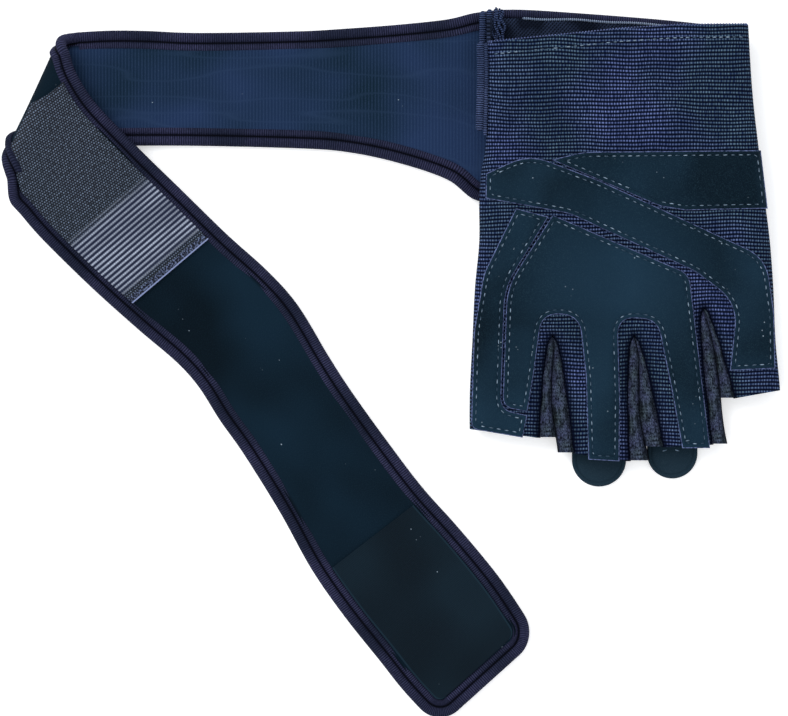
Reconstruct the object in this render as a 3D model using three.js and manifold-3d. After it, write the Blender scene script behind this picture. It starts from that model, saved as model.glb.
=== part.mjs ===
import * as THREE from "three";
import { mergeVertices } from "three/addons/utils/BufferGeometryUtils.js";
import Module from "manifold-3d";

const wasm = await Module();
wasm.setup();

// A fingerless weightlifting glove with a long wrist wrap, lying palm side up.
// X runs from the thumb side to the little-finger side, Y from the finger ends to the cuff, Z up.

// Hand
const GLOVE_WIDTH = 109;
const GLOVE_LENGTH = 153;
const GLOVE_HEIGHT = 10.5;
const KNIT_WALL = 1.5;
const SEAM_GAP = 0.3;
const STALL_GAP = 0.8;
const GUSSET_WIDTH = 12;
const GUSSET_REACH = 6.5;
const GUSSET_TIP_SHARE = 0.45;
const PAD_THICKNESS = 1.2;
const TAB_RADIUS = 9.5;
const TAB_THICKNESS = 1.5;
const SLIT_BINDING_WIDTH = 3.4;
const SLIT_BINDING_LENGTH = 31;
const BACK_BINDING_WIDTH = 2.4;

// Thumb stall, folded flat under the back
const THUMB_LENGTH = 30;
const THUMB_WIDTH = 34;
const THUMB_HEIGHT = 9;
const THUMB_CLEARANCE = 1.2;
const DRAPE_LENGTH = 26;

// Wrist wrap
const STRAP_REACH = 167.3;
const STRAP_WIDTH = 45.5;
const STRAP_THICKNESS = 3;
const BINDING_WIDTH = 6.4;
const BINDING_HEIGHT = 4;
const FOLD_RADIUS = 3.5;
const TIP_RADIUS = 9;
const PATCH_THICKNESS = 1;

// Side edges of the hand, as shares of the glove's length and width.
const HAND_EDGES = [
  { up: 0.0, left: 0.0, right: 0.998 },
  { up: 0.16, left: 0.0, right: 0.996 },
  { up: 0.28, left: 0.008, right: 0.981 },
  { up: 0.4, left: 0.016, right: 0.974 },
  { up: 0.51, left: 0.03, right: 0.962 },
  { up: 0.6, left: 0.03, right: 0.946 },
  { up: 0.66, left: 0.02, right: 0.936 },
  { up: 0.72, left: -0.01, right: 0.926 },
  { up: 0.81, left: -0.02, right: 0.911 },
  { up: 1.06, left: -0.02, right: 0.888 },
];
const HAND_ROWS_UP = [0.368, 0.42, 0.48, 0.54, 0.6, 0.66, 0.72, 0.78, 0.84, 0.9, 0.97, 1.06];

// Open ends of the stalls, and the crotches between them with the foot of each gap.
const FINGERS = [
  { endLeft: 0.077, endRight: 0.057 },
  { endLeft: 0.022, endRight: 0.004 },
  { endLeft: 0.036, endRight: 0.042 },
  { endLeft: 0.147, endRight: 0.166 },
];
const CROTCHES = [
  { between: "index_middle", across: 0.265, up: 0.285, foot: 0.278 },
  { between: "middle_ring", across: 0.527, up: 0.285, foot: 0.572 },
  { between: "ring_little", across: 0.751, up: 0.349, foot: 0.845 },
];
// The stalls' roots inside the hand, sunk under its faces, and their hollows under its hollow's faces,
// by shares of its height.
const STALL_ROOTS = [
  { up: 0.35, sink: 0.02, hollowSink: 0.08 },
  { up: 0.44, sink: 0.14, hollowSink: 0.2 },
];

// Top edges of the cuff and the place of the slit at its thumb side.
const PALM_CUFF_EDGE = [
  { across: -0.1, up: 0.955 },
  { across: 0.054, up: 0.961 },
  { across: 0.29, up: 0.977 },
  { across: 0.48, up: 0.991 },
  { across: 0.67, up: 1.0 },
  { across: 1.1, up: 1.003 },
];
const BACK_CUFF_EDGE = [
  { across: -0.1, up: 1.018 },
  { across: 0.2, up: 1.016 },
  { across: 0.51, up: 1.006 },
  { across: 0.7, up: 0.994 },
  { across: 1.1, up: 0.99 },
];
const SLIT = { across: 0.054, up: 0.7, bindingTop: 0.961 };
const WRAP_ROOT_UP = 0.8105;

// Soft dents in the palm side of the cuff. Lengths are shares of the glove's length.
const DENTS = [
  { across: 0.14, up: 0.765, turn: 62, length: 0.12, width: 0.02, depth: 0.11 },
  { across: 0.34, up: 0.82, turn: 84, length: 0.16, width: 0.03, depth: 0.1 },
  { across: 0.58, up: 0.83, turn: 98, length: 0.14, width: 0.04, depth: 0.08 },
  { across: 0.8, up: 0.79, turn: 80, length: 0.1, width: 0.03, depth: 0.06 },
];

// Corners of the suede pieces, each with its rounding radius as a share of the glove's width.
const PALM_PAD = [
  { across: 0.265, up: 0.566, round: 0.006 },
  { across: 0.703, up: 0.432, round: 0.06 },
  { across: 0.737, up: 0.23, round: 0.4 },
  { across: 0.77, up: 0.034, round: 0.005 },
  { across: 0.681, up: 0.034, round: 0.005 },
  { across: 0.649, up: 0.16, round: 0.3 },
  { across: 0.601, up: 0.327, round: 0.065 },
  { across: 0.473, up: 0.334, round: 0.075 },
  { across: 0.481, up: 0.15, round: 0.3 },
  { across: 0.479, up: 0.004, round: 0.005 },
  { across: 0.38, up: 0.008, round: 0.005 },
  { across: 0.372, up: 0.2, round: 0.3 },
  { across: 0.35, up: 0.337, round: 0.075 },
  { across: 0.23, up: 0.342, round: 0.065 },
  { across: 0.204, up: 0.2, round: 0.3 },
  { across: 0.184, up: 0.117, round: 0.008 },
  { across: 0.105, up: 0.128, round: 0.04 },
  { across: 0.118, up: 0.402, round: 0.24 },
];
const EDGE_STRIP = [
  { across: 0.147, up: 0.581, round: 0.006 },
  { across: 0.251, up: 0.562, round: 0.006 },
  { across: 0.112, up: 0.4, round: 0.24 },
  { across: 0.099, up: 0.122, round: 0.05 },
  { across: 0.184, up: 0.109, round: 0.006 },
  { across: 0.169, up: 0.058, round: 0.008 },
  { across: 0.004, up: 0.078, round: 0.03 },
  { across: 0.013, up: 0.3, round: 0.3 },
  { across: 0.044, up: 0.432, round: 0.2 },
];
const PALM_BAND = [
  { across: 0.047, up: 0.661, round: 0.008 },
  { across: 0.19, up: 0.705, round: 0.16 },
  { across: 0.41, up: 0.646, round: 0.4 },
  { across: 0.95, up: 0.469, round: 0.13 },
  { across: 0.976, up: 0.34, round: 0.3 },
  { across: 0.979, up: 0.216, round: 0.006 },
  { across: 0.834, up: 0.211, round: 0.006 },
  { across: 0.857, up: 0.365, round: 0.14 },
  { across: 0.722, up: 0.438, round: 0.2 },
  { across: 0.32, up: 0.569, round: 0.2 },
  { across: 0.045, up: 0.604, round: 0.006 },
];
const WRIST_PATCH = [
  { across: 0.262, up: 0.692, round: 0.004 },
  { across: 0.36, up: 0.71, round: 0.3 },
  { across: 0.933, up: 0.714, round: 0.006 },
  { across: 0.955, up: 0.581, round: 0.006 },
  { across: 0.69, up: 0.577, round: 0.03 },
  { across: 0.61, up: 0.586, round: 0.03 },
];
const PULL_TABS = [
  { name: "pull_tab_middle", across: 0.415, up: 0.008, size: 1.0 },
  { name: "pull_tab_ring", across: 0.65, up: 0.022, size: 0.93 },
];

// Cross lines of the wrap, from its root to its tip. out and up are shares of the wrap's reach,
// turn is the cross line's angle in degrees, width a share of the wrap's width,
// and rise the share of the fold's height.
const STRAP_ARM = [
  { out: -0.54, up: -0.012, turn: 90, width: 1.33, rise: 0 },
  { out: -0.4, up: -0.004, turn: 90, width: 1.385, rise: 0 },
  { out: -0.22, up: 0.003, turn: 90, width: 1.44, rise: 0 },
  { out: -0.08, up: 0.007, turn: 90, width: 1.47, rise: 0 },
  { out: 0.0, up: 0.004, turn: 90, width: 1.446, rise: 0 },
  { out: 0.063, up: 0.019, turn: 90, width: 1.23, rise: 0 },
  { out: 0.167, up: 0.031, turn: 90, width: 1.06, rise: 0 },
  { out: 0.272, up: 0.038, turn: 90, width: 0.95, rise: 0 },
  { out: 0.377, up: 0.039, turn: 90, width: 0.9, rise: 0 },
  { out: 0.591, up: 0.04, turn: 87, width: 0.87, rise: 0 },
  { out: 0.713, up: 0.042, turn: 79, width: 0.9, rise: 0 },
  { out: 0.821, up: 0.042, turn: 69, width: 0.95, rise: 0 },
  { out: 0.892, up: 0.039, turn: 64.5, width: 0.98, rise: 0 },
];
const STRAP_TAIL = [
  { out: 0.917, up: -0.015, turn: 64.5, width: 1.06, rise: 1 },
  { out: 0.906, up: -0.061, turn: 63, width: 1.08, rise: 1 },
  { out: 0.873, up: -0.108, turn: 56, width: 1.03, rise: 0.94 },
  { out: 0.805, up: -0.181, turn: 47, width: 1.02, rise: 0.76 },
  { out: 0.71, up: -0.274, turn: 47, width: 1.02, rise: 0.36 },
  { out: 0.615, up: -0.363, turn: 47, width: 1.0, rise: 0.08 },
  { out: 0.533, up: -0.435, turn: 46, width: 0.99, rise: 0 },
  { out: 0.478, up: -0.497, turn: 41, width: 0.99, rise: 0 },
  { out: 0.423, up: -0.586, turn: 32, width: 0.97, rise: 0 },
  { out: 0.373, up: -0.66, turn: 29, width: 0.96, rise: 0 },
  { out: 0.299, up: -0.771, turn: 33, width: 0.99, rise: 0 },
  { out: 0.23, up: -0.878, turn: 37, width: 1.06, rise: 0 },
  { out: 0.16, up: -0.967, turn: 39, width: 1.11, rise: 0 },
  { out: 0.088, up: -1.055, turn: 40, width: 1.12, rise: 0 },
  { out: 0.039, up: -1.119, turn: 42, width: 1.11, rise: 0 },
  { out: -0.025, up: -1.201, turn: 42, width: 1.04, rise: 0 },
];

// End lines of the patches on the wrap's outer face: two points each, as shares of its reach.
const WEB_START = { nearOut: 0.874, nearUp: 0.046, farOut: 0.962, farUp: -0.025 };
const WEB_END = { nearOut: 0.565, nearUp: -0.276, farOut: 0.718, farUp: -0.406 };
const HOOK_START = { nearOut: 0.126, nearUp: -0.824, farOut: 0.299, farUp: -0.958 };

// Fineness of the faceted surfaces
const HAND_STEPS = 15;
const STALL_STEPS = 10;
const BINDING_SIDES = 8;
const TAB_STEPS = 28;
const SEAM_CELLS = 16;
const STEPS_PER_ROW = 2;
const FOLD_STEPS = 8;
const CORNER_STEPS = 5;
const ROUNDNESS = 4;
const FAR = 400;
const SNAP = 0.01;

// Limits of the rounded and slanted places, as shares
const LONGEST_SETBACK = 0.48;
const SHARPEST_SLANT = 0.4;
const CORNER_TURN = 0.97;
const SHARP_CORNER = 0.02;

const materials = {
  knit: new THREE.MeshStandardMaterial({ color: 0x232a54, roughness: 0.92, metalness: 0 }),
  gusset: new THREE.MeshStandardMaterial({ color: 0x2a3145, roughness: 0.95, metalness: 0 }),
  suede: new THREE.MeshStandardMaterial({ color: 0x162534, roughness: 0.85, metalness: 0 }),
  binding: new THREE.MeshStandardMaterial({ color: 0x2a2b4a, roughness: 0.8, metalness: 0 }),
  lining: new THREE.MeshStandardMaterial({ color: 0x1f3247, roughness: 0.9, metalness: 0 }),
  webbing: new THREE.MeshStandardMaterial({ color: 0x5a6884, roughness: 0.6, metalness: 0 }),
  hook: new THREE.MeshStandardMaterial({ color: 0x0b161e, roughness: 0.75, metalness: 0 }),
};

// Solids

function solidFrom(geometry) {
  geometry.deleteAttribute("normal");
  geometry.deleteAttribute("uv");
  const merged = mergeVertices(geometry, 1e-5);
  const vertProperties = new Float32Array(merged.attributes.position.array);
  const triVerts = new Uint32Array(merged.index.array);
  const solid = new wasm.Manifold(new wasm.Mesh({ numProp: 3, vertProperties, triVerts }));
  if (solid.volume() > 0) {
    return solid;
  }
  const flipped = triVerts.slice().reverse();
  return new wasm.Manifold(new wasm.Mesh({ numProp: 3, vertProperties, triVerts: flipped }));
}

// The solid as a mesh whose corners lie on a fine grid, so that slivers left by the cuts close up.
function meshFrom(name, solid, material) {
  const source = solid.getMesh();
  const corners = new Float32Array(source.numVert * 3);
  for (let i = 0; i < source.numVert; i += 1) {
    for (let axis = 0; axis < 3; axis += 1) {
      corners[i * 3 + axis] = Math.round(source.vertProperties[i * source.numProp + axis] / SNAP) * SNAP;
    }
  }
  const snapped = new THREE.BufferGeometry();
  snapped.setAttribute("position", new THREE.BufferAttribute(corners, 3));
  snapped.setIndex(new THREE.BufferAttribute(new Uint32Array(source.triVerts), 1));
  const geometry = mergeVertices(snapped, SNAP / 4);
  const triangles = [];
  for (let i = 0; i < geometry.index.count; i += 3) {
    const [a, b, c] = [0, 1, 2].map((step) => geometry.index.getX(i + step));
    if (a !== b && b !== c && c !== a) {
      triangles.push(a, b, c);
    }
  }
  geometry.setIndex(triangles);
  geometry.computeVertexNormals();
  const mesh = new THREE.Mesh(geometry, material);
  mesh.name = name;
  return mesh;
}

function biggestBody(solid) {
  const bodies = solid.decompose();
  return bodies.reduce((best, body) => (body.volume() > best.volume() ? body : best));
}

// Closed solid through a row of rings that all have the same number of points.
function loft(rings) {
  const size = rings[0].length;
  const points = rings.flat();
  const firstCentre = points.length;
  const lastCentre = firstCentre + 1;
  for (const ring of [rings[0], rings[rings.length - 1]]) {
    const centre = new THREE.Vector3();
    ring.forEach((point) => centre.add(point));
    points.push(centre.divideScalar(size));
  }
  const triangles = [];
  for (let row = 0; row < rings.length - 1; row += 1) {
    for (let i = 0; i < size; i += 1) {
      const next = (i + 1) % size;
      const a = row * size + i;
      const b = row * size + next;
      triangles.push(a, b, b + size, a, b + size, a + size);
    }
  }
  const lastRow = (rings.length - 1) * size;
  for (let i = 0; i < size; i += 1) {
    const next = (i + 1) % size;
    triangles.push(firstCentre, next, i);
    triangles.push(lastCentre, lastRow + i, lastRow + next);
  }
  const geometry = new THREE.BufferGeometry().setFromPoints(points);
  geometry.setIndex(triangles);
  return solidFrom(geometry);
}

// Upright prism over a plan outline.
function prism(points, low, high) {
  const geometry = new THREE.ExtrudeGeometry(new THREE.Shape(points), { depth: high - low, bevelEnabled: false });
  geometry.translate(0, 0, low);
  return solidFrom(geometry);
}

// Everything over a height function of x and y, up to the height of the top.
function above(heightAt, top) {
  const cell = GLOVE_WIDTH / SEAM_CELLS;
  const rows = [];
  for (let y = -GLOVE_LENGTH * 0.1; y < GLOVE_LENGTH * 1.2; y += cell) {
    const lower = [];
    const upper = [];
    for (let x = -GLOVE_WIDTH * 0.1; x < GLOVE_WIDTH * 1.1; x += cell) {
      lower.push(new THREE.Vector3(x, y, heightAt(x, y)));
      upper.unshift(new THREE.Vector3(x, y, top));
    }
    rows.push([...lower, ...upper]);
  }
  return gridLoft(rows);
}

// Like loft, with its two end caps split into quads, because their outline is not convex.
function gridLoft(rows) {
  const size = rows[0].length;
  const half = size / 2;
  const triangles = [];
  for (let row = 0; row < rows.length - 1; row += 1) {
    for (let i = 0; i < size; i += 1) {
      const next = (i + 1) % size;
      const a = row * size + i;
      const b = row * size + next;
      triangles.push(a, b, b + size, a, b + size, a + size);
    }
  }
  const lastRow = (rows.length - 1) * size;
  for (let i = 0; i < half - 1; i += 1) {
    const j = size - 1 - i;
    triangles.push(i, j, j - 1, i, j - 1, i + 1);
    triangles.push(lastRow + i, lastRow + j - 1, lastRow + j, lastRow + i, lastRow + i + 1, lastRow + j - 1);
  }
  const geometry = new THREE.BufferGeometry().setFromPoints(rows.flat());
  geometry.setIndex(triangles);
  return solidFrom(geometry);
}

// Outlines

function smoothStep(value, low, high) {
  return THREE.MathUtils.smoothstep(value, low, high);
}

function readTable(table, key, column, value) {
  let row = 0;
  while (row < table.length - 2 && table[row + 1][key] < value) {
    row += 1;
  }
  const from = table[row];
  const to = table[row + 1];
  return from[column] + (to[column] - from[column]) * ((value - from[key]) / (to[key] - from[key]));
}

function handPoint(across, up) {
  return new THREE.Vector2(across * GLOVE_WIDTH, up * GLOVE_LENGTH);
}

// Outline with rounded corners from a table of corners.
function roundedOutline(corners) {
  const centres = corners.map((corner) => handPoint(corner.across, corner.up));
  const count = corners.length;
  const points = [];
  corners.forEach((corner, i) => {
    const here = centres[i];
    const before = centres[(i + count - 1) % count];
    const after = centres[(i + 1) % count];
    const toBefore = before.clone().sub(here);
    const toAfter = after.clone().sub(here);
    const halfAngle = Math.abs(toBefore.clone().normalize().angleTo(toAfter)) / 2;
    const wanted = (corner.round * GLOVE_WIDTH) / Math.tan(halfAngle);
    const longest = Math.min(toBefore.length(), toAfter.length()) * LONGEST_SETBACK;
    const setback = Math.min(wanted, longest);
    const start = here.clone().add(toBefore.setLength(setback));
    const end = here.clone().add(toAfter.setLength(setback));
    const curve = new THREE.QuadraticBezierCurve(start, here, end);
    points.push(...curve.getPoints(corner.round > SHARP_CORNER ? CORNER_STEPS : 1));
  });
  return points;
}

// The outline moved inwards, so that two pieces that share a border keep a gap.
function inset(points, distance) {
  const count = points.length;
  const clockwise = THREE.ShapeUtils.area(points) < 0 ? -1 : 1;
  return points.map((point, i) => {
    const before = points[(i + count - 1) % count];
    const after = points[(i + 1) % count];
    const along = after.clone().sub(before).normalize();
    return new THREE.Vector2(point.x - along.y * distance * clockwise, point.y + along.x * distance * clockwise);
  });
}

// Hand

const strapRoot = handPoint(SLIT.across, WRAP_ROOT_UP).sub(new THREE.Vector2(SLIT_BINDING_WIDTH, 0));
const rootRow = STRAP_ARM.find((row) => row.out === 0);
const rootBottom = strapRoot.y + rootRow.up * STRAP_REACH - (rootRow.width * STRAP_WIDTH) / 2;
const thumbTop = rootBottom - THUMB_CLEARANCE;
const thumbBottom = thumbTop - THUMB_WIDTH;

// Height of the hand's lower face: it lies on the floor, on the wrap's root and on the folded thumb.
function liftAt(x, y) {
  const onRoot = (BINDING_HEIGHT + SEAM_GAP) * smoothStep(y, rootBottom - DRAPE_LENGTH, rootBottom);
  const besideThumb = 1 - smoothStep(x, THUMB_LENGTH, THUMB_LENGTH + DRAPE_LENGTH);
  const belowThumb = smoothStep(y, thumbBottom - DRAPE_LENGTH, thumbBottom);
  const aboveThumb = 1 - smoothStep(y, thumbTop, thumbTop + DRAPE_LENGTH);
  const onThumb = (THUMB_HEIGHT + SEAM_GAP) * besideThumb * belowThumb * aboveThumb;
  return Math.max(onRoot, onThumb);
}

function dentAt(x, y) {
  let depth = 0;
  for (const dent of DENTS) {
    const centre = handPoint(dent.across, dent.up);
    const offset = new THREE.Vector2(x, y).sub(centre);
    offset.rotateAround(new THREE.Vector2(), THREE.MathUtils.degToRad(-dent.turn));
    const along = offset.x / (dent.length * GLOVE_LENGTH);
    const aside = offset.y / (dent.width * GLOVE_LENGTH);
    depth += dent.depth * GLOVE_HEIGHT * Math.exp(-along * along - aside * aside);
  }
  return depth;
}

// Flattened oval across the hand from left to right. grow moves it outwards or, if negative, inwards.
function handRing({ left, right, yLeft, yRight, steps, grow, sink = 0 }) {
  const half = (right - left) / 2 + grow;
  const centre = (left + right) / 2;
  const ring = [];
  for (let i = 0; i < steps * 2; i += 1) {
    const angle = (Math.PI * i) / steps;
    const side = -Math.cos(angle);
    const bulge = Math.pow(Math.max(0, 1 - Math.abs(side) ** ROUNDNESS), 1 / ROUNDNESS);
    const x = centre + side * half;
    const y = yLeft + ((yRight - yLeft) * (side + 1)) / 2;
    const reach = bulge * (GLOVE_HEIGHT / 2 + grow - sink);
    const top = i > 0 && i < steps;
    const level = liftAt(x, y) + GLOVE_HEIGHT / 2;
    ring.push(new THREE.Vector3(x, y, top ? level + reach - dentAt(x, y) * bulge : level - reach));
  }
  return ring;
}

function handBody(grow) {
  const rings = HAND_ROWS_UP.map((up, i) => {
    const y = up * GLOVE_LENGTH - (i === 0 ? grow : 0);
    return handRing({
      left: readTable(HAND_EDGES, "up", "left", up) * GLOVE_WIDTH,
      right: readTable(HAND_EDGES, "up", "right", up) * GLOVE_WIDTH,
      yLeft: y,
      yRight: y,
      steps: HAND_STEPS,
      grow,
    });
  });
  return loft(rings);
}

// The gap line between two stalls, with the stalls running into each other over the crotch.
function gapEdge(crotch, up, side) {
  const line = crotch.foot + ((crotch.across - crotch.foot) * up) / crotch.up;
  const overlap = Math.max(0, up - crotch.up) * GLOVE_LENGTH;
  return line * GLOVE_WIDTH + side * (STALL_GAP / 2 - overlap / 2);
}

function stallEdges(finger, up) {
  const leftGap = CROTCHES[finger - 1];
  const rightGap = CROTCHES[finger];
  return {
    left: leftGap ? gapEdge(leftGap, up, 1) : readTable(HAND_EDGES, "up", "left", up) * GLOVE_WIDTH,
    right: rightGap ? gapEdge(rightGap, up, -1) : readTable(HAND_EDGES, "up", "right", up) * GLOVE_WIDTH,
  };
}

function stall(finger, grow) {
  const { endLeft, endRight } = FINGERS[finger];
  const crotchUp = Math.min(...[CROTCHES[finger - 1], CROTCHES[finger]].filter(Boolean).map((gap) => gap.up));
  const stations = [0, 0.5, 1].map((share) => ({
    left: endLeft + (crotchUp - endLeft) * share,
    right: endRight + (crotchUp - endRight) * share,
  }));
  for (const { up, sink, hollowSink } of STALL_ROOTS) {
    stations.push({ left: up, right: up, sink: (grow < 0 ? hollowSink : sink) * GLOVE_HEIGHT });
  }
  const rings = stations.map((station, i) => {
    const end = i === 0 ? Math.min(0, grow * 4) : 0;
    const edges = {
      left: stallEdges(finger, station.left).left,
      right: stallEdges(finger, station.right).right,
    };
    return handRing({
      ...edges,
      yLeft: station.left * GLOVE_LENGTH + end,
      yRight: station.right * GLOVE_LENGTH + end,
      steps: STALL_STEPS,
      sink: station.sink,
      grow,
    });
  });
  return loft(rings);
}

function hand(grow) {
  return FINGERS.reduce((solid, finger, i) => solid.add(stall(i, grow)), handBody(grow));
}

function edgePrism(edge) {
  const points = edge.map((row) => handPoint(row.across, row.up));
  points.push(handPoint(1.1, -0.2), handPoint(-0.1, -0.2));
  return prism(points, -FAR, FAR);
}

// Wedge over the gap between two stalls, from which the gusset is cut.
function gussetWedge(crotch, grow) {
  const half = GUSSET_WIDTH / 2 + grow;
  const apex = handPoint(crotch.across, crotch.up);
  const below = -0.1;
  const foot = handPoint(crotch.foot + (crotch.foot - crotch.across) * (-below / crotch.up), below);
  const points = [
    new THREE.Vector2(apex.x - half * GUSSET_TIP_SHARE, apex.y + GUSSET_REACH + grow),
    new THREE.Vector2(apex.x + half * GUSSET_TIP_SHARE, apex.y + GUSSET_REACH + grow),
    new THREE.Vector2(foot.x + half, foot.y),
    new THREE.Vector2(foot.x - half, foot.y),
  ];
  return prism(points, -FAR, FAR);
}

const outerHand = hand(0);
const shell = outerHand.subtract(hand(-KNIT_WALL));
const seamAt = (x, y) => liftAt(x, y) + GLOVE_HEIGHT / 2;
const upperHalf = above((x, y) => seamAt(x, y) + SEAM_GAP / 2, FAR);
const upperAndSeam = above((x, y) => seamAt(x, y) - SEAM_GAP / 2, FAR);

function slitCut() {
  const slitX = SLIT.across * GLOVE_WIDTH;
  const slitY = SLIT.up * GLOVE_LENGTH;
  const points = [
    new THREE.Vector2(-FAR, slitY),
    new THREE.Vector2(slitX, slitY),
    new THREE.Vector2(slitX, FAR),
    new THREE.Vector2(-FAR, FAR),
  ];
  return prism(points, -FAR, FAR);
}

function withoutWedges(solid) {
  return CROTCHES.reduce((rest, crotch) => rest.subtract(gussetWedge(crotch, SEAM_GAP)), solid);
}

function palmPanel() {
  const half = withoutWedges(shell).intersect(upperHalf).intersect(edgePrism(PALM_CUFF_EDGE));
  return biggestBody(half.subtract(slitCut()));
}

function backPanel() {
  const half = withoutWedges(shell).subtract(upperAndSeam).intersect(edgePrism(BACK_CUFF_EDGE));
  return biggestBody(half.subtract(slitCut()));
}

function gusset(crotch) {
  return biggestBody(shell.intersect(gussetWedge(crotch, 0)));
}

const padSkin = hand(SEAM_GAP + PAD_THICKNESS).subtract(hand(SEAM_GAP)).intersect(upperHalf);
const bandPrism = prism(inset(roundedOutline(PALM_BAND), -SEAM_GAP), -FAR, FAR);

function pad(corners) {
  const outline = inset(roundedOutline(corners), SEAM_GAP / 2);
  return padSkin.intersect(prism(outline, -FAR, FAR));
}

// The pieces that the band borders are trimmed along it.
function trimmedPad(corners) {
  return biggestBody(pad(corners).subtract(bandPrism));
}

function edgeStrip() {
  const mainPad = prism(inset(roundedOutline(PALM_PAD), -SEAM_GAP), -FAR, FAR);
  return biggestBody(trimmedPad(EDGE_STRIP).subtract(mainPad));
}

function pullTab(tab) {
  const centre = handPoint(tab.across, tab.up);
  const radius = TAB_RADIUS * tab.size;
  const disc = new THREE.CylinderGeometry(radius, radius, TAB_THICKNESS, TAB_STEPS);
  disc.rotateX(Math.PI / 2);
  disc.translate(centre.x, centre.y, TAB_THICKNESS / 2);
  return biggestBody(solidFrom(disc).subtract(tabClearance(centre)));
}

// What the end of the hand takes from a tab: everything over the stalls' open ends.
function tabClearance(centre) {
  const reach = TAB_RADIUS * 1.5;
  const points = [];
  for (let x = centre.x - reach; x <= centre.x + reach; x += reach / 6) {
    points.push(new THREE.Vector2(x, stallEndAt(x) - SEAM_GAP));
  }
  points.push(new THREE.Vector2(centre.x + reach, FAR), new THREE.Vector2(centre.x - reach, FAR));
  return prism(points, -FAR, FAR);
}

function stallEndAt(x) {
  const finger = CROTCHES.filter((crotch) => x > crotch.foot * GLOVE_WIDTH).length;
  const { endLeft, endRight } = FINGERS[finger];
  const { left, right } = stallEdges(finger, Math.min(endLeft, endRight));
  const share = THREE.MathUtils.clamp((x - left) / (right - left), 0, 1);
  return (endLeft + (endRight - endLeft) * share) * GLOVE_LENGTH;
}

// Round-edged bar along Y for the two bound edges of the slit.
function slitBinding({ x, width, height, middle, top, length }) {
  const rings = [0, 0.12, 0.5, 0.88, 1].map((share) => {
    const narrow = share === 0 || share === 1 ? 0.7 : 1;
    const ring = [];
    for (let i = 0; i < BINDING_SIDES; i += 1) {
      const angle = (2 * Math.PI * (i + 0.5)) / BINDING_SIDES;
      const across = (Math.cos(angle) * width * narrow) / 2;
      const up = (Math.sin(angle) * height * narrow) / 2;
      ring.push(new THREE.Vector3(x + across, top - share * length, middle + up));
    }
    return ring;
  });
  return loft(rings);
}

function palmSlitBinding() {
  return slitBinding({
    x: SLIT.across * GLOVE_WIDTH - SEAM_GAP - SLIT_BINDING_WIDTH / 2,
    width: SLIT_BINDING_WIDTH,
    height: SLIT_BINDING_WIDTH,
    middle: BINDING_HEIGHT + SEAM_GAP + GLOVE_HEIGHT - KNIT_WALL / 2,
    top: SLIT.bindingTop * GLOVE_LENGTH,
    length: SLIT_BINDING_LENGTH,
  });
}

function backSlitBinding() {
  return slitBinding({
    x: SLIT.across * GLOVE_WIDTH - SEAM_GAP - BACK_BINDING_WIDTH / 2,
    width: BACK_BINDING_WIDTH,
    height: BACK_BINDING_WIDTH,
    middle: BINDING_HEIGHT + SEAM_GAP * 2 + BACK_BINDING_WIDTH / 2,
    top: readTable(BACK_CUFF_EDGE, "across", "up", SLIT.across) * GLOVE_LENGTH,
    length: SLIT_BINDING_LENGTH,
  });
}

// Short open tube from the thumb side towards the middle of the hand, lying on the floor.
function thumbStall() {
  const middleY = (thumbTop + thumbBottom) / 2;
  const startX = readTable(HAND_EDGES, "up", "left", middleY / GLOVE_LENGTH) * GLOVE_WIDTH + GLOVE_HEIGHT / 2;
  const tube = (grow, over) => {
    const rings = [0, 0.5, 1].map((share) => {
      const x = startX - over + (THUMB_LENGTH - startX + over * 2) * share;
      const ring = [];
      for (let i = 0; i < STALL_STEPS * 2; i += 1) {
        const angle = (Math.PI * i) / STALL_STEPS;
        const side = -Math.cos(angle);
        const bulge = Math.pow(Math.max(0, 1 - Math.abs(side) ** ROUNDNESS), 1 / ROUNDNESS);
        const z = THUMB_HEIGHT / 2 + Math.sign(Math.sin(angle)) * bulge * (THUMB_HEIGHT / 2 + grow);
        ring.push(new THREE.Vector3(x, middleY + side * (THUMB_WIDTH / 2 + grow), z));
      }
      return ring;
    });
    return loft(rings);
  };
  return tube(0, 0).subtract(tube(-KNIT_WALL, KNIT_WALL));
}

// Wrap

const foldHeight = 2 * FOLD_RADIUS;

function rowPlace(row) {
  return {
    centre: strapPlan(row.out, row.up),
    turn: THREE.MathUtils.degToRad(row.turn),
    half: (row.width * STRAP_WIDTH) / 2,
    height: BINDING_HEIGHT / 2 + Math.max(0, row.rise) * foldHeight,
  };
}

function strapPlan(out, up) {
  return new THREE.Vector2(strapRoot.x - out * STRAP_REACH, strapRoot.y + up * STRAP_REACH);
}

// A smooth reading of a table of cross lines at a place between two rows.
function readRows(rows, place) {
  const curves = {
    plan: new THREE.CatmullRomCurve3(rows.map((row) => new THREE.Vector3(row.out, row.up, row.rise))),
    form: new THREE.CatmullRomCurve3(rows.map((row) => new THREE.Vector3(row.turn, row.width, 0))),
  };
  curves.plan.curveType = "catmullrom";
  curves.form.curveType = "catmullrom";
  const share = place / (rows.length - 1);
  const plan = curves.plan.getPoint(share);
  const form = curves.form.getPoint(share);
  return rowPlace({ out: plan.x, up: plan.y, rise: plan.z, turn: form.x, width: form.y });
}

// One cross line of the wrap in space: its centre, the direction across and the way its lining faces.
function flatStation(place, liningUp) {
  return {
    centre: new THREE.Vector3(place.centre.x, place.centre.y, place.height),
    across: new THREE.Vector3(Math.cos(place.turn), Math.sin(place.turn), 0),
    lining: new THREE.Vector3(0, 0, liningUp),
    half: place.half,
  };
}

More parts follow.
